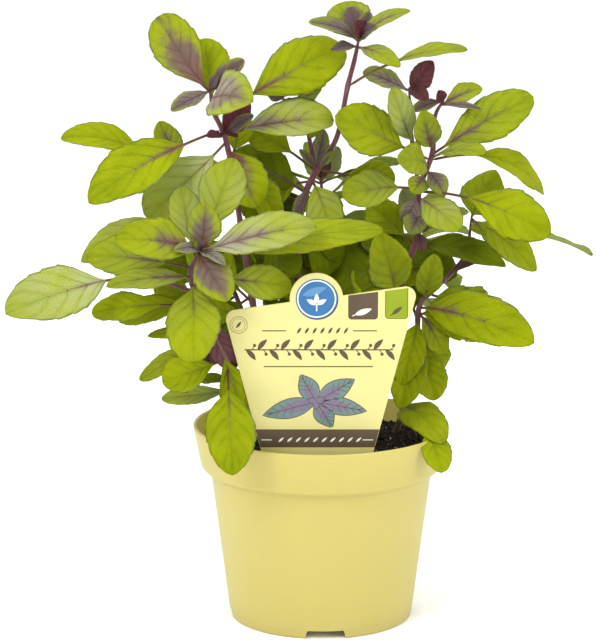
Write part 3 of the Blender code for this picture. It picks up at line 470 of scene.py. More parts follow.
class Term:
    """A value in a node tree: ordinary arithmetic on it adds math nodes."""

    def __init__(self, tree, socket):
        self.tree = tree
        self.socket = socket
        self.vector = socket.type in ("VECTOR", "RGBA")

    def calculated(self, operation, *terms):
        vector = self.vector or any(isinstance(t, Term) and t.vector for t in terms)
        kind = "ShaderNodeVectorMath" if vector else "ShaderNodeMath"
        if vector:
            terms = [t if isinstance(t, (Term, tuple)) else (t, t, t) for t in terms]
        inputs = dict(enumerate((self, *terms)))
        return link_node(self.tree, kind, inputs, {"operation": operation})

    def __add__(self, other):
        return self.calculated("ADD", other)

    __radd__ = __add__

    def __sub__(self, other):
        return self.calculated("SUBTRACT", other)

    def __rsub__(self, other):
        return self * -1.0 + other

    def __mul__(self, other):
        return self.calculated("MULTIPLY", other)

    __rmul__ = __mul__

    def __truediv__(self, other):
        return self.calculated("DIVIDE", other)

    def __pow__(self, other):
        return self.calculated("POWER", other)

    def unit(self):
        return self.calculated("NORMALIZE")

    def cross(self, other):
        return self.calculated("CROSS_PRODUCT", other)

    def length(self):
        return link_node(self.tree, "ShaderNodeVectorMath", {0: self}, {"operation": "LENGTH"}, "Value")

    def part(self, axis):
        return link_node(self.tree, "ShaderNodeSeparateXYZ", {0: self}, output=axis)


def whole(term):
    return term.calculated("ABSOLUTE")


def sine(term):
    return term.calculated("SINE")


def fraction(term):
    return term.calculated("FRACT")


def least(term, other):
    return term.calculated("MINIMUM", other)


def most(term, other):
    return term.calculated("MAXIMUM", other)


def below(term, other):
    return term.calculated("LESS_THAN", other)


def above(term, other):
    return term.calculated("GREATER_THAN", other)


def within(term):
    """The term kept between 0 and 1."""
    return least(most(term, 0.0), 1.0)


def smooth(term, low, high):
    """0 below low, 1 above high and a soft step between."""
    inputs = {"Value": term, 1: low, 2: high, 3: 0.0, 4: 1.0}
    return link_node(term.tree, "ShaderNodeMapRange", inputs, {"interpolation_type": "SMOOTHSTEP"})


def bell(term, width):
    """1 where the term is 0, falling off over the width."""
    return (term / width * (term / width) * -1.0).calculated("EXPONENT")


def vector_of(tree, x, y, z):
    return link_node(tree, "ShaderNodeCombineXYZ", {0: x, 1: y, 2: z})


def noise(tree, place, scale, detail=2.0, output=0):
    inputs = {"Vector": place, "Scale": scale, "Detail": detail}
    return link_node(tree, "ShaderNodeTexNoise", inputs, output=output)


# ---- Geometry trees ----

def new_tree(name, sockets):
    """A geometry tree with the named inputs; (tree, terms by name)."""
    tree = bpy.data.node_groups.new(name, "GeometryNodeTree")
    tree.interface.new_socket("Geometry", in_out="OUTPUT", socket_type="NodeSocketGeometry")
    tree.interface.new_socket("Geometry", in_out="INPUT", socket_type="NodeSocketGeometry")
    for label, kind in sockets.items():
        tree.interface.new_socket(label, in_out="INPUT", socket_type="NodeSocket" + kind)
    entry = tree.nodes.new("NodeGroupInput")
    return tree, {socket.name: Term(tree, socket) for socket in entry.outputs if socket.name}


def end_tree(tree, shape, surface, flat=False):
    """Realize Instances, smooth shading and Set Material, which end every tree."""
    real = link_node(tree, "GeometryNodeRealizeInstances", {0: shape})
    shaded = link_node(tree, "GeometryNodeSetShadeSmooth", {0: real, "Shade Smooth": not flat})
    coated = link_node(tree, "GeometryNodeSetMaterial", {0: shaded, "Material": surface})
    leave = tree.nodes.new("NodeGroupOutput")
    tree.links.new(coated.socket, leave.inputs[0])


def store(tree, shape, name, value):
    """Keeps a vector on every point, for the shape's material to read."""
    settings = {"data_type": "FLOAT_VECTOR", "domain": "POINT"}
    inputs = {0: shape, "Name": name, "Value": value}
    return link_node(tree, "GeometryNodeStoreNamedAttribute", inputs, settings)


def add_tree(obj, tree, values):
    """Puts a tree on an object and sets its inputs by their identifiers."""
    modifier = obj.modifiers.new(tree.name, "NODES")
    modifier.node_group = tree
    given = [item for item in tree.interface.items_tree if item.in_out == "INPUT"]
    identifiers = {item.name: item.identifier for item in given}
    for label, value in values.items():
        modifier[identifiers[label]] = value


def plain_mesh(obj, name):
    """The evaluated object as a plain mesh object; the maker object is removed."""
    graph = bpy.context.evaluated_depsgraph_get()
    mesh = bpy.data.meshes.new_from_object(obj.evaluated_get(graph), depsgraph=graph)
    mesh.name = name
    bpy.data.objects.remove(obj, do_unlink=True)
    return link_mesh(name, mesh)


def link_mesh(name, mesh):
    made = bpy.data.objects.new(name, mesh)
    bpy.context.scene.collection.objects.link(made)
    return made


def shape_object(name, shape):
    """An object from a bmesh in millimetres."""
    shape.normal_update()
    bmesh.ops.recalc_face_normals(shape, faces=shape.faces)
    shape.transform(Matrix.Scale(MM, 4))
    mesh = bpy.data.meshes.new(name)
    shape.to_mesh(mesh)
    shape.free()
    return link_mesh(name, mesh)


def leaf_tree():
    """One leaf as a closed skin: a round stalk that opens into a toothed, veined, folded blade."""
    sockets = dict.fromkeys(("Start", "Bend", "Tip", "Facing", "Tint"), "Vector")
    sockets |= dict.fromkeys(("Stalk", "Width", "Form", "Blunt", "Fold", "Cup", "Wave", "Puff",
                              "Sway", "Droop", "Seed"), "Float")
    tree, given = new_tree("leaf_blade", sockets | {"Surface": "Material"})
    grid_size = {"Size X": 1.0, "Size Y": 1.0, "Vertices X": LEAF_RINGS, "Vertices Y": LEAF_AROUND}
    grid = link_node(tree, "GeometryNodeMeshGrid", grid_size)
    place = link_node(tree, "GeometryNodeInputPosition", {})
    along = place.part("X") + 0.5
    around = place.part("Y") + 0.5
    on_stalk = least(along / STALK_SHARE, 1.0)
    on_blade = most((along - STALK_SHARE) / (1.0 - STALK_SHARE), 0.0)
    share = given["Stalk"] * on_stalk + (1.0 - given["Stalk"]) * on_blade
    across = whole(around * 4.0 - 2.0) - 1.0
    side = below(around, 0.5) * 2.0 - 1.0
    out = whole(across)
    is_open = above(along, 0.001) * below(along, 0.999)

    # The outline: half the blade's width at each place along it
    seed = given["Seed"]
    wobble = sine(on_blade * 9.0 + seed * 40.0 + across * 1.7) * EDGE_WOBBLE
    fullness = BASE_FULLNESS + (given["Blunt"] - BASE_FULLNESS) * smooth(on_blade, 0.15, 0.85)
    oval = most(sine(math.pi * on_blade ** given["Form"]), 0.0) ** fullness
    teeth = (fraction(on_blade * TEETH + seed) - 0.5) * smooth(on_blade, 0.1, 0.3) * TOOTH
    blade = given["Width"] * 0.5 * oval * (1.0 + teeth + wobble)
    stalk = STALK_RADIUS * MM * (1.0 - on_blade * 0.75)
    half = (blade * blade + stalk * stalk) ** 0.5 * is_open
    opening = smooth(on_blade, 0.0, BLADE_OPENS)
    thick = (stalk * (1.0 - opening) + BLADE_HALF_THICKNESS * MM * opening) * is_open

    # The relief: sunk veins with puffed skin between them, the fold and the waved edge
    veins = (on_blade - VEIN_RISE * out ** VEIN_ARCH) * VEINS + seed
    groove = most(sine(veins * 2.0 * math.pi), 0.0) ** 3.0 * sine(out * math.pi * 0.92 + 0.1)
    midrib = bell(across, 0.12) * (1.0 - on_blade * 0.7)
    quilt = given["Puff"] * opening * (1.0 - groove * 1.0 - midrib * 1.6)
    ripple = sine(on_blade * 15.0 + seed * 31.0 + across * 1.4) * across * across * given["Wave"]
    rise = half * opening * (given["Fold"] * out + given["Cup"] * out * out + ripple) + quilt
    skin = side * most(1.0 - across * across, 0.0) ** 0.5 * thick
    rib = below(side, 0.0) * midrib * opening * thick * -1.6 * is_open

    # The course: an arch from the stem to the tip, swaying sideways and drooping at its end
    start, bend, tip = given["Start"], given["Bend"], given["Tip"]
    back = 1.0 - share
    curve = start * (back * back) + bend * (share * back * 2.0) + tip * (share * share)
    ahead = ((bend - start) * back + (tip - bend) * share).unit()
    sideways = ahead.cross(given["Facing"]).unit()
    upward = sideways.cross(ahead)
    length = (tip - start).length()
    sway = sine(share * math.pi * 1.5) * given["Sway"] * length
    past = most(on_blade - DROOP_FROM, 0.0)
    droop = past * past * given["Droop"] * length * -1.0
    spot = curve + sideways * (across * half + sway) + upward * (rise + skin + rib + droop)

    marked = store(tree, grid, "blade", vector_of(tree, across, on_blade - 1.0 + on_stalk, side))
    tinted = store(tree, marked, "tint", given["Tint"])
    shaped = link_node(tree, "GeometryNodeSetPosition", {0: tinted, "Position": spot})
    closed = link_node(tree, "GeometryNodeMergeByDistance", {0: shaped, "Distance": WELD * MM})
    end_tree(tree, closed, given["Surface"])
    return tree


def stem_tree():
    """A stem round its route, as thick as the route says, squarish and closed at both ends."""
    sockets = {"Squareness": "Float", "Sides": "Int", "Surface": "Material"}
    tree, given = new_tree("stem_along_route", sockets)
    sides = {"Resolution": given["Sides"], "Radius": 1.0}
    ring = link_node(tree, "GeometryNodeCurvePrimitiveCircle", sides)
    place = link_node(tree, "GeometryNodeInputPosition", {})
    corner = sine(place.part("X") * place.part("X") * math.pi)
    squared = place * (1.0 - given["Squareness"] * corner)
    square = link_node(tree, "GeometryNodeSetPosition", {0: ring, "Position": squared})
    length = link_node(tree, "GeometryNodeSplineParameter", {}, output="Length")
    width = link_node(tree, "GeometryNodeInputRadius", {})
    marked = store(tree, given["Geometry"], "stem", vector_of(tree, length, width, 0.0))
    swept = {0: marked, 1: square, "Scale": width, "Fill Caps": True}
    end_tree(tree, link_node(tree, "GeometryNodeCurveToMesh", swept), given["Surface"])
    return tree


def scatter_tree():
    """Small rough grains strewn over the faces that look up."""
    numbers = ("Density", "Lowest", "Reach", "Smallest", "Largest", "Stretch", "Sink")
    sockets = dict.fromkeys(numbers, "Float") | {"Seed": "Int", "Surface": "Material"}
    tree, given = new_tree("strewn_grains", sockets)
    normal = link_node(tree, "GeometryNodeInputNormal", {})
    ground = link_node(tree, "GeometryNodeInputPosition", {})
    from_axis = (ground * (1.0, 1.0, 0.0)).length()
    faces_up = above(normal.part("Z"), 0.4) * above(ground.part("Z"), given["Lowest"])
    chosen = faces_up * below(from_axis, given["Reach"])
    strewing = {0: given["Geometry"], "Selection": chosen, "Density": given["Density"],
                "Seed": given["Seed"]}
    points = link_node(tree, "GeometryNodeDistributePointsOnFaces", strewing)
    grain = link_node(tree, "GeometryNodeMeshIcoSphere", {"Radius": 1.0, "Subdivisions": 2})
    place = link_node(tree, "GeometryNodeInputPosition", {})
    rough = noise(tree, place, 1.7) * 1.1 + 0.45
    lump = link_node(tree, "GeometryNodeSetPosition", {0: grain, "Position": place * rough})
    sizes = {2: given["Smallest"], 3: given["Largest"], "Seed": given["Seed"]}
    size = link_node(tree, "FunctionNodeRandomValue", sizes, {"data_type": "FLOAT"}, 1)
    turns = {0: (0.0, 0.0, 0.0), 1: (6.28, 6.28, 6.28), "Seed": given["Seed"]}
    turn = link_node(tree, "FunctionNodeRandomValue", turns, {"data_type": "FLOAT_VECTOR"})
    scale = vector_of(tree, size * given["Stretch"], size, size * 0.8)
    placing = {0: points, "Instance": lump, "Rotation": turn, "Scale": scale}
    strewn = link_node(tree, "GeometryNodeInstanceOnPoints", placing)
    sinking = {0: strewn, "Translation": vector_of(tree, 0.0, 0.0, given["Sink"] * -1.0),
               "Local Space": False}
    sunk = link_node(tree, "GeometryNodeTranslateInstances", sinking)
    real = link_node(tree, "GeometryNodeRealizeInstances", {0: sunk})
    spot = link_node(tree, "GeometryNodeInputPosition", {})
    jitter = (noise(tree, spot, 900.0, 1.0, 1) - (0.5, 0.5, 0.5)) * (given["Smallest"] * 0.9)
    uneven = link_node(tree, "GeometryNodeSetPosition", {0: real, "Offset": jitter})
    end_tree(tree, uneven, given["Surface"], flat=True)
    return tree


def mound_tree():
    """Turns flat soil into a crumbly surface that rises round the stems."""
    sockets = {"Roughness": "Float", "Level": "Float", "Surface": "Material"}
    tree, given = new_tree("soil_surface", sockets)
    place = link_node(tree, "GeometryNodeInputPosition", {})
    upper = above(place.part("Z"), given["Level"])
    coarse = (noise(tree, place, 55.0, 3.0) - 0.5) * 2.2
    lumps = coarse + (noise(tree, place, 260.0, 3.0) - 0.5) * 0.9
    flat_place = place * (1.0, 1.0, 0.0)
    mound = 0.0
    for x, y, height, width in MOUNDS:
        away = (flat_place - (x * MM, y * MM, 0.0)).length()
        mound = bell(away, width * MM) * height * MM + mound
    lift = vector_of(tree, 0.0, 0.0, lumps * given["Roughness"] * upper + mound * upper)
    shaped = link_node(tree, "GeometryNodeSetPosition", {0: given["Geometry"], "Offset": lift})
    end_tree(tree, shaped, given["Surface"])
    return tree


# ---- Materials ----

def new_material(name):
    """A material with its node tree and its shader."""
    made = bpy.data.materials.new(name)
    made.use_nodes = True
    tree = made.node_tree
    return made, tree, tree.nodes["Principled BSDF"]


def mixed(tree, share, one, other):
    """A colour between two, by the share."""
    made = tree.nodes.new("ShaderNodeMix")
    made.data_type = "RGBA"
    feed(tree, share, made.inputs["Factor"])
    feed(tree, one if isinstance(one, Term) else (*one, 1.0), made.inputs[6])
    feed(tree, other if isinstance(other, Term) else (*other, 1.0), made.inputs[7])
    return Term(tree, made.outputs[2])


def attribute(tree, name):
    made = tree.nodes.new("ShaderNodeAttribute")
    made.attribute_name = name
    return Term(tree, made.outputs["Vector"])


def object_place(tree):
    return link_node(tree, "ShaderNodeTexCoord", {}, output="Object")


def bump(tree, shader, height, distance, strength=1.0):
    inputs = {"Strength": strength, "Distance": distance, "Height": height}
    feed(tree, link_node(tree, "ShaderNodeBump", inputs), shader.inputs["Normal"])


def let_light_through(tree, shader, colour, share):
    """Mixes a share of translucence into the surface."""
    glow = tree.nodes.new("ShaderNodeBsdfTranslucent")
    feed(tree, colour, glow.inputs["Color"])
    join = tree.nodes.new("ShaderNodeMixShader")
    join.inputs["Fac"].default_value = share
    tree.links.new(shader.outputs[0], join.inputs[1])
    tree.links.new(glow.outputs[0], join.inputs[2])
    tree.links.new(join.outputs[0], tree.nodes["Material Output"].inputs["Surface"])


def leaf_material(name, ground, lit, deep, flush, blush, vein, spread):
    """Leaf skin: arching veins with a fine net between them, a flush from the stalk, and a
    paler underside."""
    made, tree, shader = new_material(name)
    blade, tint, place = attribute(tree, "blade"), attribute(tree, "tint"), object_place(tree)
    across, along, side = blade.part("X"), blade.part("Y"), blade.part("Z")
    purple, sheen_share, seed = tint.part("X"), tint.part("Y"), tint.part("Z")
    out = whole(across)
    cloudy = noise(tree, place, 60.0, 3.0)
    mottle = noise(tree, place, 190.0, 3.0)
    fine = noise(tree, place, 520.0, 3.0)

    # Where the veins run
    veins = (along - VEIN_RISE * out ** VEIN_ARCH) * VEINS + seed + (cloudy - 0.5) * 0.4 - 0.25
    vein_gap = whole(fraction(veins + 0.5) - 0.5)
    fading = smooth(along, 0.0, 0.1) * smooth(1.0 - along, 0.08, 0.5)
    lateral = bell(vein_gap, 0.034) * (1.0 - out ** 2.0) * fading
    midrib = bell(across, 0.026) * (1.15 - along)
    halo = bell(across, 0.11) * (1.0 - along)
    drawn = within(lateral * (0.3 + mottle * 0.6) + midrib)
    between = smooth(vein_gap, 0.03, 0.3) * (1.0 - bell(across, 0.14))
    flat_place = vector_of(tree, across * 3.2 + seed * 9.0, along * 9.0, 0.0)
    cells = link_node(tree, "ShaderNodeTexVoronoi", {"Vector": flat_place, "Scale": 3.0},
                      {"feature": "DISTANCE_TO_EDGE", "voronoi_dimensions": "2D"})
    net = bell(cells, 0.05)

    # The green, mottled, with painted highlights and a painted sheen where the leaf has one
    patch = smooth(cloudy, 0.35, 0.7)
    green_share = within(patch * 0.6 + seed * 0.25 + (mottle - 0.5) * 0.9)
    green = mixed(tree, green_share, ground, deep)
    # Painted highlight: the lit tone on the puffed skin between the veins and in fine specks.
    raised = mixed(tree, between * (mottle * 0.4) + smooth(fine, 0.55, 0.8) * 0.25, green, lit)
    netted = mixed(tree, net * 0.12 + smooth(1.0 - fine, 0.55, 0.8) * 0.25, raised, deep)
    sheen_clouds = sheen_share * (0.55 + between * 0.2) * (cloudy * 2.2 - 0.25) * (1.4 - along * 1.1)
    sheen_mask = within(sheen_clouds - net * sheen_share * 0.15)
    sheened = mixed(tree, sheen_mask * 0.85, netted, LEAF_SHEEN)

    # The purple flush, which fades towards the edge and the tip
    fade = along * 1.05 + out ** 2.0 * 1.05
    reach = purple * 1.5 + spread - fade + (cloudy - 0.5) * 0.9 + (mottle - 0.5) * 0.7
    flushed = smooth(reach + lateral * 0.25 + halo * 0.35, 0.1, 0.8)
    flush_tone = mixed(tree, smooth(along + mottle * 0.3, 0.1, 0.6), blush, flush)
    # Painted sheen over the flush, in the silvery tone.
    silver_sheened = mixed(tree, sheen_mask * (0.65 + between * 0.2), flush_tone, LEAF_SILVER_SHEEN)
    coloured = mixed(tree, flushed * 0.9, sheened, silver_sheened)

    # The veins, the edge, the stalk and the underside
    rib_tone = mixed(tree, smooth(reach + 0.35, 0.0, 0.6), deep, vein)
    haloed = mixed(tree, halo * 0.3, coloured, rib_tone)
    veined_share = drawn * (0.3 + flushed * 0.6) + net * flushed * 0.22
    veined = mixed(tree, veined_share, haloed, rib_tone)
    rosy = within(midrib * smooth(0.75 - along, 0.0, 0.5) * (0.2 + seed * 0.35))
    ribbed = mixed(tree, rosy, veined, LEAF_ROSE)
    # Painted highlight: the lit tone along the margin.
    edge_highlit = mixed(tree, smooth(out, 0.93, 0.99) * 0.35, ribbed, lit)
    stalked = mixed(tree, below(along, 0.004) * 0.8, edge_highlit, LEAF_STALK)
    under = mixed(tree, 0.5, stalked, LEAF_UNDERSIDE)
    sided = mixed(tree, smooth(side, -0.3, 0.3), under, stalked)
    feed(tree, sided, shader.inputs["Base Color"])
    feed(tree, 0.42 + fine * 0.24 - drawn * 0.06, shader.inputs["Roughness"])
    shader.inputs["Specular IOR Level"].default_value = 0.05

    sunk = lateral * -0.5 + midrib * -0.9 + net * -0.35
    bump(tree, shader, sunk + between * 0.25 + mottle * 0.5 + fine * 0.35, 0.0004, 0.9)
    let_light_through(tree, shader, mixed(tree, 0.45, sided, LEAF_LIT_THROUGH), 0.2)
    return made


def stem_material():
    """Stem skin: straw and wood at the foot, wine red above, with fine streaks along it."""
    made, tree, shader = new_material("stem_skin")
    place, stem = object_place(tree), attribute(tree, "stem")
    streaks = noise(tree, place * (1.0, 1.0, 0.12), 900.0, 3.0)
    patches = noise(tree, place, 45.0)
    height = smooth(place.part("Z"), 0.09, 0.18)
    woody = mixed(tree, height, STEM_WOOD, STEM_WINE)
    straw_share = smooth(patches, 0.45, 0.7) * (0.45 - height * 0.3)
    patched = mixed(tree, straw_share, woody, STEM_STRAW)
    streaked = mixed(tree, smooth(streaks, 0.5, 0.75) * 0.3, patched, STEM_STREAK)
    feed(tree, streaked, shader.inputs["Base Color"])
    feed(tree, 0.5 + streaks * 0.25, shader.inputs["Roughness"])
    shader.inputs["Sheen Weight"].default_value = 0.35
    shader.inputs["Sheen Roughness"].default_value = 0.4
    bands = sine(stem.part("X") * 900.0) * 0.12
    bump(tree, shader, streaks + bands, 0.0003, 0.7)
    return made


def pot_material():
    """Moulded satin plastic with faint flow lines down the wall and a little surface grain."""
    made, tree, shader = new_material("pot_plastic")
    place = object_place(tree)
    flow = noise(tree, place * (1.0, 1.0, 0.04), 160.0, 3.0)
    grain = noise(tree, place, 2600.0)
    blotch = noise(tree, place, 14.0)
    shade = smooth(blotch, 0.3, 0.7) * 0.35 + flow * 0.2
    warm = mixed(tree, shade, POT_CREAM, POT_SHADE)
    # Darker towards the foot, and in fine specks.
    foot = 1.0 - smooth(place.part("Z"), 0.0, 0.012)
    foot_toned = mixed(tree, foot * 0.22 + smooth(grain, 0.62, 0.8) * 0.05, warm, POT_FOOT_TONE)
    feed(tree, foot_toned, shader.inputs["Base Color"])
    feed(tree, 0.29 + flow * 0.1 + blotch * 0.06, shader.inputs["Roughness"])
    shader.inputs["Specular IOR Level"].default_value = 0.45
    shader.inputs["Subsurface Weight"].default_value = 0.55
    shader.inputs["Subsurface Radius"].default_value = (0.004, 0.0035, 0.001)
    bump(tree, shader, grain * 0.35 + flow * 0.9, 0.00012, 0.5)
    let_light_through(tree, shader, mixed(tree, 0.7, foot_toned, POT_LIT_THROUGH), 0.3)
    return made


def soil_material(name, dark, light):
    """Matt crumbs, darker in the hollows of their bump and lighter on its tops: painted shade and light."""
    made, tree, shader = new_material(name)
    place = object_place(tree)
    lumps = noise(tree, place, 330.0, 4.0)
    tiny = noise(tree, place, 1900.0, 3.0)
    # Painted shade: the dark tone follows the low places of the bump.
    base = mixed(tree, smooth(lumps, 0.4, 0.68), dark, light)
    tone = mixed(tree, smooth(tiny, 0.6, 0.75) * 0.5, base, light)
    feed(tree, tone, shader.inputs["Base Color"])
    feed(tree, 0.75 + tiny * 0.25, shader.inputs["Roughness"])
    shader.inputs["Specular IOR Level"].default_value = 0.3
    bump(tree, shader, lumps + tiny * 0.6, 0.0009)
    return made


def card_material(name, colour, worn, roughness):
    """Coated card: printed colour with a slight fibre mottle."""
    made, tree, shader = new_material(name)
    place = object_place(tree)
    fibre = noise(tree, place, 1500.0, 3.0)
    cloud = noise(tree, place, 90.0)
    wear = smooth(cloud, 0.3, 0.75) * 0.6 + smooth(fibre, 0.5, 0.8) * 0.25
    feed(tree, mixed(tree, wear, colour, worn), shader.inputs["Base Color"])
    feed(tree, roughness + fibre * 0.12, shader.inputs["Roughness"])
    shader.inputs["Specular IOR Level"].default_value = 0.22
    bump(tree, shader, fibre, 0.00005, 0.4)
    return made


def floor_material():
    """Matt white paper."""
    made, tree, shader = new_material("studio_floor")
    cloud = noise(tree, object_place(tree), 2.0)
    feed(tree, mixed(tree, cloud, *FLOOR_TONES), shader.inputs["Base Color"])
    shader.inputs["Roughness"].default_value = 0.8
    shader.inputs["Specular IOR Level"].default_value = 0.1
    return made


# ---- Pot ----

def outer_radius(height):
    """The pot's outside radius at a height: the tapered body, the step and the rim band."""
    rim_foot = POT_HEIGHT - RIM_HEIGHT
    body_top = rim_foot - STEP_HEIGHT
    if height >= rim_foot:
        widening = RIM_RADIUS - RIM_FOOT_RADIUS
        return RIM_FOOT_RADIUS + widening * (height - rim_foot) / RIM_HEIGHT
    if height >= body_top:
        widening = RIM_FOOT_RADIUS - BODY_TOP_RADIUS
        return BODY_TOP_RADIUS + widening * (height - body_top) / STEP_HEIGHT
    return FOOT_RADIUS + (BODY_TOP_RADIUS - FOOT_RADIUS) * height / body_top


def rounded(points, radii, steps=5):
    """The open line with each corner rounded by its own reach."""
    line = [Vector(points[0])]
    for before, corner, after, reach in zip(points, points[1:], points[2:], radii):
        before, corner, after = Vector(before), Vector(corner), Vector(after)
        reach = min(reach, (before - corner).length * 0.45, (after - corner).length * 0.45)
        start = corner + (before - corner).normalized() * reach
        end = corner + (after - corner).normalized() * reach
        for k in range(steps + 1):
            t = k / steps
            line.append(start * (1 - t) ** 2 + corner * 2 * t * (1 - t) + end * t * t)
    return line + [Vector(points[-1])]


def pot_profile():
    """The pot's section as radius and height, from the middle of the base out, up and back in."""
    rim_foot = POT_HEIGHT - RIM_HEIGHT
    body_top = rim_foot - STEP_HEIGHT
    ring_inside = FOOT_RADIUS - FOOT_RING_WIDTH
    floor_top = BASE_RECESS + BASE_THICKNESS
    corners = [
        ((0, BASE_RECESS), 0), ((ring_inside, BASE_RECESS), 0.6), ((ring_inside, 0), 0.5),
        ((FOOT_RADIUS - 0.15, 0), 1.3), ((BODY_TOP_RADIUS, body_top), 1.6),
        ((RIM_FOOT_RADIUS - 0.9, rim_foot - 0.5), 1.5), ((RIM_RADIUS - 0.25, POT_HEIGHT - 1.6), 0.8),
        ((RIM_RADIUS, POT_HEIGHT), 0.8), ((RIM_RADIUS - WALL - 0.2, POT_HEIGHT), 0.7),
        ((RIM_FOOT_RADIUS - WALL, rim_foot - WALL / 2), 1.5),
        ((BODY_TOP_RADIUS - WALL, body_top - WALL / 2), 1.5),
        ((outer_radius(floor_top) - WALL, floor_top), 1.0), ((0, floor_top), 0)]
    places = [place for place, _ in corners]
    return rounded(places, [reach for _, reach in corners[1:-1]])


def turned(profile, sides):
    """A closed body from a section of (radius, height), turned round the upright axis."""
    shape = bmesh.new()
    rings = []
    turn = 2 * math.pi / sides
    for radius, height in profile:
        count = 1 if radius < 1e-6 else sides
        places = [(*on_circle((0, 0), radius, k * turn), height) for k in range(count)]
        rings.append([shape.verts.new(place) for place in places])
    for lower, upper in zip(rings, rings[1:]):
        if len(lower) == len(upper) == 1:
            continue
        for k in range(sides):
            after = (k + 1) % sides
            corners = [lower[k % len(lower)], lower[after % len(lower)],
                       upper[after % len(upper)], upper[k % len(upper)]]
            shape.faces.new(list(dict.fromkeys(corners)))
    return shape


def prism(outline, low, high, axis="Z"):
    """A flat outline pushed from low to high along Z, or along Y with the outline upright."""
    shape = bmesh.new()
    upright = axis == "Y"
    flat = [(p[0], low, p[1]) if upright else (p[0], p[1], low) for p in outline]
    face = shape.faces.new([shape.verts.new(place) for place in flat])
    grown = bmesh.ops.extrude_face_region(shape, geom=[face])["geom"]
    verts = [item for item in grown if isinstance(item, bmesh.types.BMVert)]
    step = (0, high - low, 0) if upright else (0, 0, high - low)
    bmesh.ops.translate(shape, verts=verts, vec=step)
    return shape


def on_circle(centre, radius, angle):
    return (centre[0] + radius * math.cos(angle), centre[1] + radius * math.sin(angle))


def circle(centre, radius, sides):
    turn = 2 * math.pi / sides
    return [on_circle(centre, radius, k * turn) for k in range(sides)]


def pot_cutters():
    """The shapes that cut the notches in the foot ring and the drainage holes."""
    cutters = []
    half_top = NOTCH_TOP_WIDTH / 2
    half_foot = NOTCH_FOOT_WIDTH / 2
    corners = [(-half_foot - 0.4, -2), (-half_foot, 0), (-half_top, BASE_RECESS),
               (half_top, BASE_RECESS), (half_foot, 0), (half_foot + 0.4, -2)]
    wedge_line = rounded(corners, [0.2, 0.8, 0.8, 0.2], 3)
    for number in range(NOTCH_COUNT):
        wedge = prism(wedge_line, -FOOT_RADIUS - 2, FOOT_RING_WIDTH + 2 - FOOT_RADIUS, "Y")
        turn = math.radians(NOTCH_TURN + 360 * number / NOTCH_COUNT)
        wedge.transform(Matrix.Rotation(turn, 4, "Z"))
        cutters.append(shape_object(f"notch_cutter_{number}", wedge))
    for number in range(DRAIN_COUNT):
        turn = math.radians(NOTCH_TURN + 45 + 360 * number / DRAIN_COUNT)
        hole = prism(circle(on_circle((0, 0), DRAIN_CIRCLE, turn), DRAIN_RADIUS, 40), 2, 8)
        cutters.append(shape_object(f"drain_cutter_{number}", hole))
    return cutters


def make_pot(surface):
    """The pot: its turned wall and base with the notches and holes cut out."""
    body = shape_object("pot_body", turned(pot_profile(), POT_SIDES))
    body.data.materials.append(surface)
    cutters = pot_cutters()
    for cutter in cutters:
        cut = body.modifiers.new(cutter.name, "BOOLEAN")
        cut.object = cutter
        cut.operation = "DIFFERENCE"
    pot = plain_mesh(body, "nursery_pot")
    for cutter in cutters:
        bpy.data.objects.remove(cutter, do_unlink=True)
    shade_by_angle(pot.data, 35)
    return pot


def face_out(mesh):
    """Turns each closed body of a mesh outwards."""
    shape = bmesh.new()
    shape.from_mesh(mesh)
    bmesh.ops.recalc_face_normals(shape, faces=shape.faces)
    if shape.calc_volume(signed=True) < 0:
        bmesh.ops.reverse_faces(shape, faces=shape.faces)
    shape.to_mesh(mesh)
    shape.free()


def shade_by_angle(mesh, degrees):
    """Smooth shading with the sharper edges kept."""
    mesh.shade_smooth()
    mesh.set_sharp_from_angle(angle=math.radians(degrees))


# ---- Soil ----

def soil_body():
    """Soil that fills the pot, as a closed turned body with a fine top."""
    floor = BASE_RECESS + BASE_THICKNESS + SOIL_GAP
    inside = WALL + SOIL_GAP
    rim_foot = POT_HEIGHT - RIM_HEIGHT
    body_top = rim_foot - STEP_HEIGHT
    edge = outer_radius(SOIL_TOP) - inside
    profile = [(0, floor), (outer_radius(floor) - inside, floor)]
    profile += [(outer_radius(h) - inside, h - WALL / 2) for h in (body_top, rim_foot)]
    profile.append((edge, SOIL_TOP - 1.5))
    for k in range(1, SOIL_RINGS):
        share = 1 - k / SOIL_RINGS
        profile.append((edge * share, SOIL_TOP - SOIL_EDGE_DROP * share ** 3))
    profile.append((0, SOIL_TOP))
    return shape_object("soil_filling", turned(profile, SOIL_SIDES))


def make_soil(surfaces):
    """The soil, then what is strewn on it."""
    body = soil_body()
    level = (SOIL_TOP - 1.6) * MM
    add_tree(body, mound_tree(),
             {"Roughness": SOIL_LUMPS * MM, "Level": level, "Surface": surfaces["peat"]})
    soil = plain_mesh(body, "potting_soil")
    tree = scatter_tree()
    reach = (outer_radius(SOIL_TOP) - WALL - SOIL_GAP - 2.4) * MM
    pieces = [soil]
    for name, (surface, density, smallest, largest, stretch, sink, seed) in GRAINS.items():
        maker = link_mesh(name + "_ground", soil.data.copy())
        add_tree(maker, tree, {
            "Density": density, "Lowest": level, "Reach": reach, "Smallest": smallest * MM,
            "Largest": largest * MM, "Stretch": stretch, "Sink": sink * MM, "Seed": seed,
            "Surface": surfaces[surface]})
        pieces.append(plain_mesh(maker, name))
    return pieces


# ---- Plant label ----

def side_at(height, sign):
    """How far across the card's left (-1) or right (1) side stands at a height over the rim."""
    mean_height = (CARD_LEFT_HEIGHT + CARD_RIGHT_HEIGHT) / 2
    spread = (CARD_TOP_WIDTH - CARD_RIM_WIDTH) / 2 / mean_height
    return CARD_OFFSET + sign * (CARD_RIM_WIDTH / 2 + spread * height)


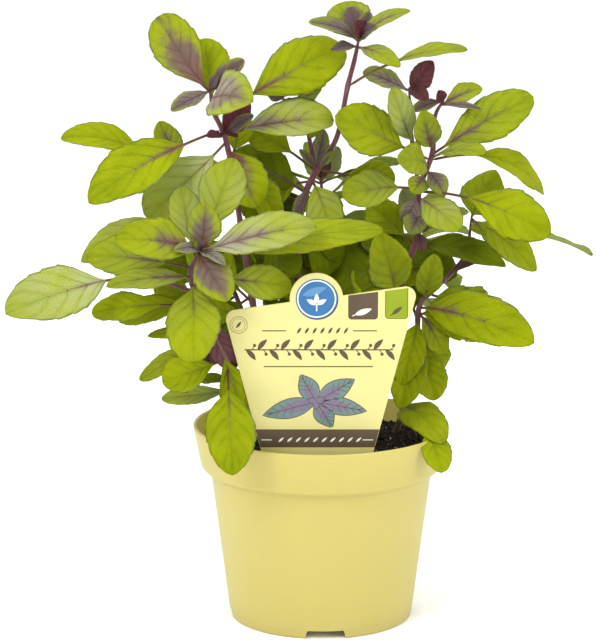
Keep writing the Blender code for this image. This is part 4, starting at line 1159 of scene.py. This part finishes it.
def top_edge_at(x):
    """The height of the card's sloping top edge."""
    left = side_at(CARD_LEFT_HEIGHT, -1)
    right = side_at(CARD_RIGHT_HEIGHT, 1)
    rise = CARD_RIGHT_HEIGHT - CARD_LEFT_HEIGHT
    return CARD_LEFT_HEIGHT + rise * (x - left) / (right - left)


def arc(centre, radius, start, end, steps):
    return [on_circle(centre, radius, start + (end - start) * k / steps) for k in range(steps + 1)]


def card_outline():
    """The card from its stake's point, up the right side, over the round head and down."""
    low = -CARD_STAKE + CARD_POINT
    middle = (side_at(low, -1) + side_at(low, 1)) / 2
    slope = math.atan2(top_edge_at(1) - top_edge_at(0), 1)
    lean = math.atan2(side_at(1, 1) - side_at(0, 1), 1)
    square = math.pi / 2 + slope
    outline = [(middle, -CARD_STAKE), (side_at(low, 1), low)]
    right = side_at(CARD_RIGHT_HEIGHT - CARD_CORNER, 1)
    right_corner = (right - CARD_CORNER, top_edge_at(right) - CARD_CORNER)
    outline += arc(right_corner, CARD_CORNER, -lean, square, 12)
    below_edge = (top_edge_at(CARD_ROUND_AT[0]) - CARD_ROUND_AT[1]) * math.cos(slope)
    rise = math.acos(below_edge / CARD_ROUND_RADIUS)
    outline += arc(CARD_ROUND_AT, CARD_ROUND_RADIUS, square - rise, square + rise, 48)
    left = side_at(CARD_LEFT_HEIGHT - CARD_CORNER, -1)
    left_corner = (left + CARD_CORNER, top_edge_at(left) - CARD_CORNER)
    outline += arc(left_corner, CARD_CORNER, square, math.pi + lean, 12)
    outline.append((side_at(low, -1), low))
    return outline


def card_place():
    """Where the card stands: its rim line inside the front of the pot, and leaning forwards."""
    lean = Matrix.Rotation(math.radians(CARD_LEAN), 4, "X")
    return Matrix.Translation((0, -CARD_AT_RIM, POT_HEIGHT)) @ lean


def make_card(surface):
    """The card with its softened edge."""
    half = CARD_THICKNESS / 2
    shape = prism(card_outline(), -half, half, "Y")
    shape.transform(card_place())
    card = shape_object("label_card", shape)
    soften = card.modifiers.new("edge", "BEVEL")
    soften.width = CARD_EDGE * MM
    soften.segments = 2
    card.data.materials.append(surface)
    made = plain_mesh(card, "plant_label_card")
    shade_by_angle(made.data, 40)
    return made


def leaf_outline(base, tip, width, steps=12, bend=0.0):
    """A pointed oval between two places on the card."""
    base, tip = Vector(base), Vector(tip)
    ahead = tip - base
    aside = Vector((-ahead.y, ahead.x)).normalized()
    sides = {1: [], -1: []}
    for sign, side in sides.items():
        for k in range(1, steps):
            t = k / steps
            middle = base + ahead * t + aside * bend * math.sin(math.pi * t)
            half = width / 2 * math.sin(math.pi * t ** 0.9) ** 0.85
            side.append(middle + aside * sign * half)
    outline = [base] + sides[-1] + [tip] + sides[1][::-1]
    return [(p.x, p.y) for p in outline]


def bar(start, end, width):
    """A short stroke with round ends."""
    start, end = Vector(start), Vector(end)
    angle = math.atan2(end.y - start.y, end.x - start.x)
    quarter = math.pi / 2
    return (arc(end, width / 2, angle - quarter, angle + quarter, 6)
            + arc(start, width / 2, angle + quarter, angle + 3 * quarter, 6))


def tag_outline(left, right, bottom, corner):
    """A tab that hangs from the card's top edge."""
    outline = arc((left + corner, bottom + corner), corner, math.pi, 1.5 * math.pi, 6)
    outline += arc((right - corner, bottom + corner), corner, 1.5 * math.pi, 2 * math.pi, 6)
    return outline + [(right, top_edge_at(right) - 0.15), (left, top_edge_at(left) - 0.15)]


def ring_strokes(centre, radius, width, sides):
    """A thin ring as a chain of strokes."""
    spots = circle(centre, radius, sides)
    return [bar(a, b, width) for a, b in zip(spots, spots[1:] + spots[:1])]


class Print:
    """Everything printed on the card: the outlines of each ink and the layer each lies in."""

    def __init__(self):
        self.shapes = {ink: [] for ink in INKS}

    def lay(self, ink, outline, layer=0):
        self.shapes[ink].append((outline, layer))

    def badge(self):
        """A blue disc with a white ring and a three-leaved sprout."""
        x, y = BADGE
        self.lay("ink_brown", circle((x + 0.25, y - 0.3), 9.45, 64))
        for ink, radius, layer in (("ink_blue", 9.3, 1), ("ink_light", 8.75, 2), ("ink_blue", 8.1, 3)):
            self.lay(ink, circle(BADGE, radius, 64), layer)
        self.lay("ink_sky", leaf_outline((x - 6.2, y + 1.6), (x + 4.6, y + 5.4), 3.6, 16), 4)
        foot = (x, y - 2.6)
        for turn, reach in ((90, 5.2), (28, 5.0), (152, 5.0)):
            tip = on_circle(foot, reach, math.radians(turn))
            self.lay("ink_light", leaf_outline(foot, tip, 2.2), 5)
        self.lay("ink_light", bar((x, y - 5.4), (x, y - 2.0), 0.6), 5)

    def tabs(self):
        """Two tabs that hang from the top edge, each with a leaf on its stalk."""
        self.lay("ink_brown", tag_outline(11.6, 24.9, 60.2, 1.6))
        self.lay("ink_light", leaf_outline((14.6, 62.4), (22.2, 65.2), 2.6), 1)
        self.lay("ink_light", bar((13.6, 61.9), (15.4, 62.7), 0.4), 1)
        self.lay("ink_brown", tag_outline(28.1, 38.3, 60.5, 1.6))
        self.lay("ink_lime", tag_outline(28.4, 38.0, 60.8, 1.4), 1)
        self.lay("ink_brown", leaf_outline((31.2, 62.6), (35.8, 66.2), 1.9), 2)
        self.lay("ink_brown", bar((30.6, 62.0), (31.6, 62.9), 0.35), 2)

    def stamp(self):
        """Two thin rings round a small leaf."""
        x, y = STAMP
        for radius, width in ((3.9, 0.2), (2.9, 0.14)):
            for stroke in ring_strokes(STAMP, radius, width, 32):
                self.lay("ink_brown", stroke)
        self.lay("ink_brown", leaf_outline((x - 1.0, y - 1.4), (x + 1.2, y + 1.6), 1.2))

    def heading(self):
        """Three rules, a row of small leaves between the upper two, and a garland."""
        for left, right, height in ((-26.6, -16.4, 54.9), (14.0, 24.3, 54.9), (-26.0, 22.6, 38.1)):
            self.lay("ink_brown", bar((left, height), (right, height), 0.5))
        for k in range(7):
            x = -11.2 + k * 3.5
            self.lay("ink_brown", leaf_outline((x, 53.6), (x + 1.8, 56.5), 1.15))
        y = GARLAND_HEIGHT
        self.lay("ink_brown", bar((-34.6, y), (31.6, y), 0.55))
        for k in range(GARLAND_LEAVES):
            x = -34.0 + k * GARLAND_STEP
            lift = 4.9 if k % 2 else -4.9
            self.lay("ink_brown", leaf_outline((x, y), (x + 4.2, y + lift), 2.3, 12, 0.3))
            self.lay("ink_brown", bar((x + 2.4, y), (x + 3.6, y - lift * 0.3), 0.35))
            self.lay("ink_brown", circle((x + 3.7, y - lift * 0.42), 0.75, 14))

    def band(self):
        """The brown band across the foot, with two rules and a row of leaves."""
        corners = ((BAND_TOP, -1), (BAND_FOOT, -1), (BAND_FOOT, 1), (BAND_TOP, 1))
        self.lay("ink_brown", [(side_at(h, sign) - sign * 0.1, h) for h, sign in corners])
        for left, right in ((-27.2, -22.9), (18.6, 23.0)):
            self.lay("ink_light", bar((left, 3.3), (right, 3.3), 0.45), 1)
        for k in range(10):
            x = -19.6 + k * 3.9
            self.lay("ink_light", leaf_outline((x, 2.3), (x + 2.4, 4.5), 1.0), 1)

    def sprig(self):
        """Five veined leaves round a heart of three small ones."""
        heart = Vector(SPRIG)
        for tip, width in SPRIG_LEAVES:
            tip = Vector(tip)
            ahead = (tip - heart).normalized()
            aside = Vector((-ahead.y, ahead.x))
            self.lay("ink_brown", leaf_outline(heart, tip + ahead * 0.4, width + 0.8, 18))
            self.lay("ink_teal", leaf_outline(heart, tip, width, 18), 1)
            self.lay("ink_violet", leaf_outline(heart, heart.lerp(tip, 0.72), width * 0.62, 18), 2)
            self.lay("ink_brown", bar(heart, heart.lerp(tip, 0.93), 0.28), 3)
            for share in (0.42, 0.56, 0.7, 0.82):
                root = heart.lerp(tip, share)
                reach = width * 0.36 * math.sin(math.pi * (share + 0.12)) ** 0.6
                for sign in (1, -1):
                    end = root + ahead * 2.6 + aside * sign * reach
                    self.lay("ink_brown", bar(root, end, 0.16), 3)
        for tip in ((-6.6, 22.6), (1.4, 23.4), (-2.9, 17.6)):
            self.lay("ink_brown", leaf_outline(heart, tip, 3.0), 4)
            self.lay("ink_violet", leaf_outline(heart, heart.lerp(Vector(tip), 0.92), 2.6), 5)


def make_print(surfaces):
    """Each ink as one thin raised piece on the card's face."""
    design = Print()
    for draw in (design.badge, design.tabs, design.stamp, design.heading, design.band, design.sprig):
        draw()
    made = []
    face = -CARD_THICKNESS / 2
    for ink, rows in design.shapes.items():
        whole_ink = bmesh.new()
        for outline, layer in rows:
            flat = prism(outline, face - INK_LAYER * (layer + 1), face + 0.02, "Y")
            flat.normal_update()
            bmesh.ops.recalc_face_normals(flat, faces=flat.faces)
            shape_mesh = bpy.data.meshes.new("ink")
            flat.to_mesh(shape_mesh)
            flat.free()
            whole_ink.from_mesh(shape_mesh)
            bpy.data.meshes.remove(shape_mesh)
        whole_ink.transform(Matrix.Scale(MM, 4) @ card_place())
        mesh = bpy.data.meshes.new(ink)
        whole_ink.to_mesh(mesh)
        whole_ink.free()
        mesh.materials.append(surfaces[ink])
        made.append(link_mesh("label_" + ink, mesh))
    return made


# ---- Stems ----

def through(points, spacing):
    """Points about one spacing apart on a smooth curve through the given points."""
    ends = [points[0] * 2 - points[1]] + points + [points[-1] * 2 - points[-2]]
    line = []
    for a, b, c, d in zip(ends, ends[1:], ends[2:], ends[3:]):
        steps = max(1, round((c - b).length / spacing))
        for k in range(steps):
            t = k / steps
            line.append(0.5 * (2 * b + (c - a) * t + (2 * a - 5 * b + 4 * c - d) * t * t
                               + (3 * b - 3 * c + d - a) * t ** 3))
    return line + [points[-1]]


def shoot_route(shoot, spacing):
    """A shoot's first and last radius and its route; a rooted one starts below the soil."""
    first, last, points = shoot
    if len(points[0]) == 3:
        return first, last, through([Vector(p) for p in points], spacing)
    root = Vector((*points[0], SOIL_TOP - STEM_ROOT))
    foot = Vector((*points[0], SOIL_TOP + SOIL_GAP))
    return first, last, [root] + through([foot] + [Vector(p) for p in points[1:]], spacing)


def joint_on(route_data, height):
    """The middle, direction and radius of a shoot where it passes a height."""
    first, last, route = route_data
    for index, (a, b) in enumerate(zip(route, route[1:])):
        if height <= b.z or index == len(route) - 2:
            share = min(max((height - a.z) / (b.z - a.z), 0.0), 1.0)
            radius = first + (last - first) * (index + share) / (len(route) - 1)
            return a.lerp(b, share), (b - a).normalized(), radius


def joints_by_shoot():
    """Where leaves join each shoot."""
    found = {}
    for row in list(LEAVES.values()) + [row for rows in YOUNG.values() for row in rows]:
        found.setdefault(row[0], set()).add(row[1])
    return found


def route_curve(name, shoot, joints):
    """A shoot's route as a curve whose radius tapers to the tip and swells at the joints."""
    first, last, route = shoot_route(shoot, STEM_STEP)
    spots = [joint_on((first, last, route), height)[0] for height in joints]
    curve = bpy.data.curves.new(name, "CURVE")
    curve.dimensions = "3D"
    spline = curve.splines.new("POLY")
    spline.points.add(len(route) - 1)
    for index, place in enumerate(route):
        to_end = (len(route) - 1 - index) * STEM_STEP
        radius = (first + (last - first) * index / (len(route) - 1)) * STEM_SLIMNESS
        radius *= min(1.0, STEM_TIP_SHARE + (1 - STEM_TIP_SHARE) * to_end / STEM_TAPER)
        near = [math.exp(-((place - spot).length / NODE_LENGTH) ** 2) for spot in spots]
        swelling = 1 + NODE_SWELLING * max(near, default=0.0)
        spline.points[index].co = (*(place * MM), 1)
        spline.points[index].radius = radius * MM * swelling
    return link_mesh(name, curve)


def joined(name, objects):
    """The objects as one mesh object."""
    target = objects[0]
    if len(objects) > 1:
        chosen = {"active_object": target, "object": target, "selected_objects": objects,
                  "selected_editable_objects": objects}
        with bpy.context.temp_override(**chosen):
            bpy.ops.object.join()
    target.name = name
    target.data.name = name
    return target


def make_stems(surface):
    """Each rooted stem as one object with its side shoots."""
    tree = stem_tree()
    joints = joints_by_shoot()
    stems = {}
    for name, shoots in STEMS.items():
        tubes = []
        for shoot, data in shoots.items():
            maker = route_curve(shoot + "_route", data, joints.get(shoot, ()))
            add_tree(maker, tree, {"Squareness": STEM_SQUARENESS, "Sides": STEM_SIDES,
                                   "Surface": surface})
            tubes.append(plain_mesh(maker, shoot + "_tube"))
        stems[name] = joined(name + "_skin", tubes)
        face_out(stems[name].data)
    return stems


# ---- Leaves ----

def leaf_inputs(row, route_data, seed):
    """The leaf tree's inputs for one row, with a little chance in the form of the blade."""
    _, height, tip, stalk, width, face, arch, _, purple, sheen_share = row
    dice = random.Random(seed)
    centre, along, radius = joint_on(route_data, height)
    tip = Vector(tip)
    chord = tip - centre
    facing = Vector(face)
    facing = (facing - chord * facing.dot(chord) / chord.length_squared).normalized()
    bend = centre + chord / 2 + facing * chord.length * arch * 2
    out = bend - centre
    out = (out - along * out.dot(along)).normalized()
    start = centre + out * radius * STALK_DEPTH
    grain = dice.random()
    chance = {label: dice.uniform(*span) for label, span in LEAF_CHANCE.items()}
    chance["Puff"] = chance["Puff"] * min(1.0, width / FULL_PUFF_WIDTH) * MM
    return chance | {
        "Start": start * MM, "Bend": bend * MM, "Tip": tip * MM, "Facing": facing,
        "Stalk": max(stalk, SHORTEST_STALK) / chord.length, "Width": width * MM,
        "Seed": grain, "Tint": (purple, sheen_share, grain)}


def make_leaf(name, row, routes, tree, surfaces, seed):
    """One leaf from its row of the table."""
    maker = link_mesh(name + "_maker", bpy.data.meshes.new(name))
    values = leaf_inputs(row, routes[row[0]], seed)
    values["Surface"] = surfaces[row[7]]
    add_tree(maker, tree, values)
    return plain_mesh(maker, name)


def make_leaves(surfaces):
    """One object for each leaf of the solid model, and one for each group of young leaves."""
    tree = leaf_tree()
    routes = {}
    for shoots in STEMS.values():
        for shoot, data in shoots.items():
            routes[shoot] = shoot_route(data, LEAF_ROUTE_STEP)
    single = {name: make_leaf(name + "_blade", row, routes, tree, surfaces, name)
              for name, row in LEAVES.items()}
    groups = {}
    for name, rows in YOUNG.items():
        made = [make_leaf(f"{name}_{k}", row, routes, tree, surfaces, f"{name} {k}")
                for k, row in enumerate(rows)]
        groups[name] = joined(name, made)
    for obj in (*single.values(), *groups.values()):
        if signed_volume(obj.data) < 0:
            obj.data.flip_normals()
    return single, groups


def signed_volume(mesh):
    """A closed mesh's volume, below 0 where its faces point inwards."""
    shape = bmesh.new()
    shape.from_mesh(mesh)
    volume = shape.calc_volume(signed=True)
    shape.free()
    return volume


# ---- Studio ----

def area_light(name, place, aim, size, power):
    """A soft rectangular light that points at its aim."""
    light = bpy.data.lights.new(name, "AREA")
    light.shape = "RECTANGLE"
    light.size, light.size_y = size
    light.energy = power
    made = bpy.data.objects.new(name, light)
    made.location = place
    made.rotation_euler = (Vector(aim) - Vector(place)).to_track_quat("-Z", "Y").to_euler()
    bpy.context.scene.collection.objects.link(made)


def make_floor():
    """A wide pale floor under the pot."""
    shape = bmesh.new()
    bmesh.ops.create_grid(shape, x_segments=4, y_segments=4, size=FLOOR_HALF_SIDE / MM)
    floor = shape_object("floor", shape)
    if floor.data.polygons[0].normal.z < 0:
        floor.data.flip_normals()
    floor.data.materials.append(floor_material())


def make_camera():
    """A long lens in front of the plant, looking a little down."""
    lens = bpy.data.cameras.new("camera")
    lens.sensor_fit = "HORIZONTAL"
    lens.sensor_width = CAMERA_SENSOR
    lens.lens = CAMERA_LENS
    lens.clip_start = CAMERA_NEAR
    lens.clip_end = CAMERA_FAR
    camera = bpy.data.objects.new("camera", lens)
    camera.location = CAMERA_PLACE
    camera.rotation_euler = (math.radians(90 - CAMERA_DIP), 0, 0)
    bpy.context.scene.collection.objects.link(camera)
    bpy.context.scene.camera = camera


def make_studio():
    """A white room, four soft lights, the floor and the camera."""
    scene = bpy.context.scene
    scene.view_settings.view_transform = "Standard"
    scene.world = bpy.data.worlds.new("studio")
    scene.world.use_nodes = True
    background = scene.world.node_tree.nodes["Background"]
    background.inputs["Color"].default_value = (1.0, 1.0, 1.0, 1.0)
    background.inputs["Strength"].default_value = WORLD_STRENGTH
    for name, settings in LIGHTS.items():
        area_light(name, *settings)
    make_floor()
    make_camera()


def settle(piece, slot, *nodes):
    """The piece rides on the part and stands for the named solids; the slot is not used."""
    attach(piece, "root")
    if nodes:
        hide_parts(*nodes)


def main():
    make_studio()
    skins = {skin: leaf_material("leaf_" + skin, *tones) for skin, tones in LEAF_SKINS.items()}
    settle(make_pot(pot_material()), "pot", "pot")
    soils = {name: soil_material(name, *tones) for name, tones in SOIL_TONES.items()}
    soil, *strewn = make_soil(soils)
    settle(soil, "soil", "soil")
    for piece in strewn:
        settle(piece, "soil")
    settle(make_card(card_material("label_card", *CARD_FINISH)), "label", "plant_label")
    inks = {name: card_material(name, *finish) for name, finish in INKS.items()}
    for piece in make_print(inks):
        settle(piece, "label")
    for name, piece in make_stems(stem_material()).items():
        settle(piece, "stem", name)
    single, groups = make_leaves(skins)
    for name, piece in single.items():
        settle(piece, "leaf", name)
    for piece in groups.values():
        settle(piece, "leaf")


main()
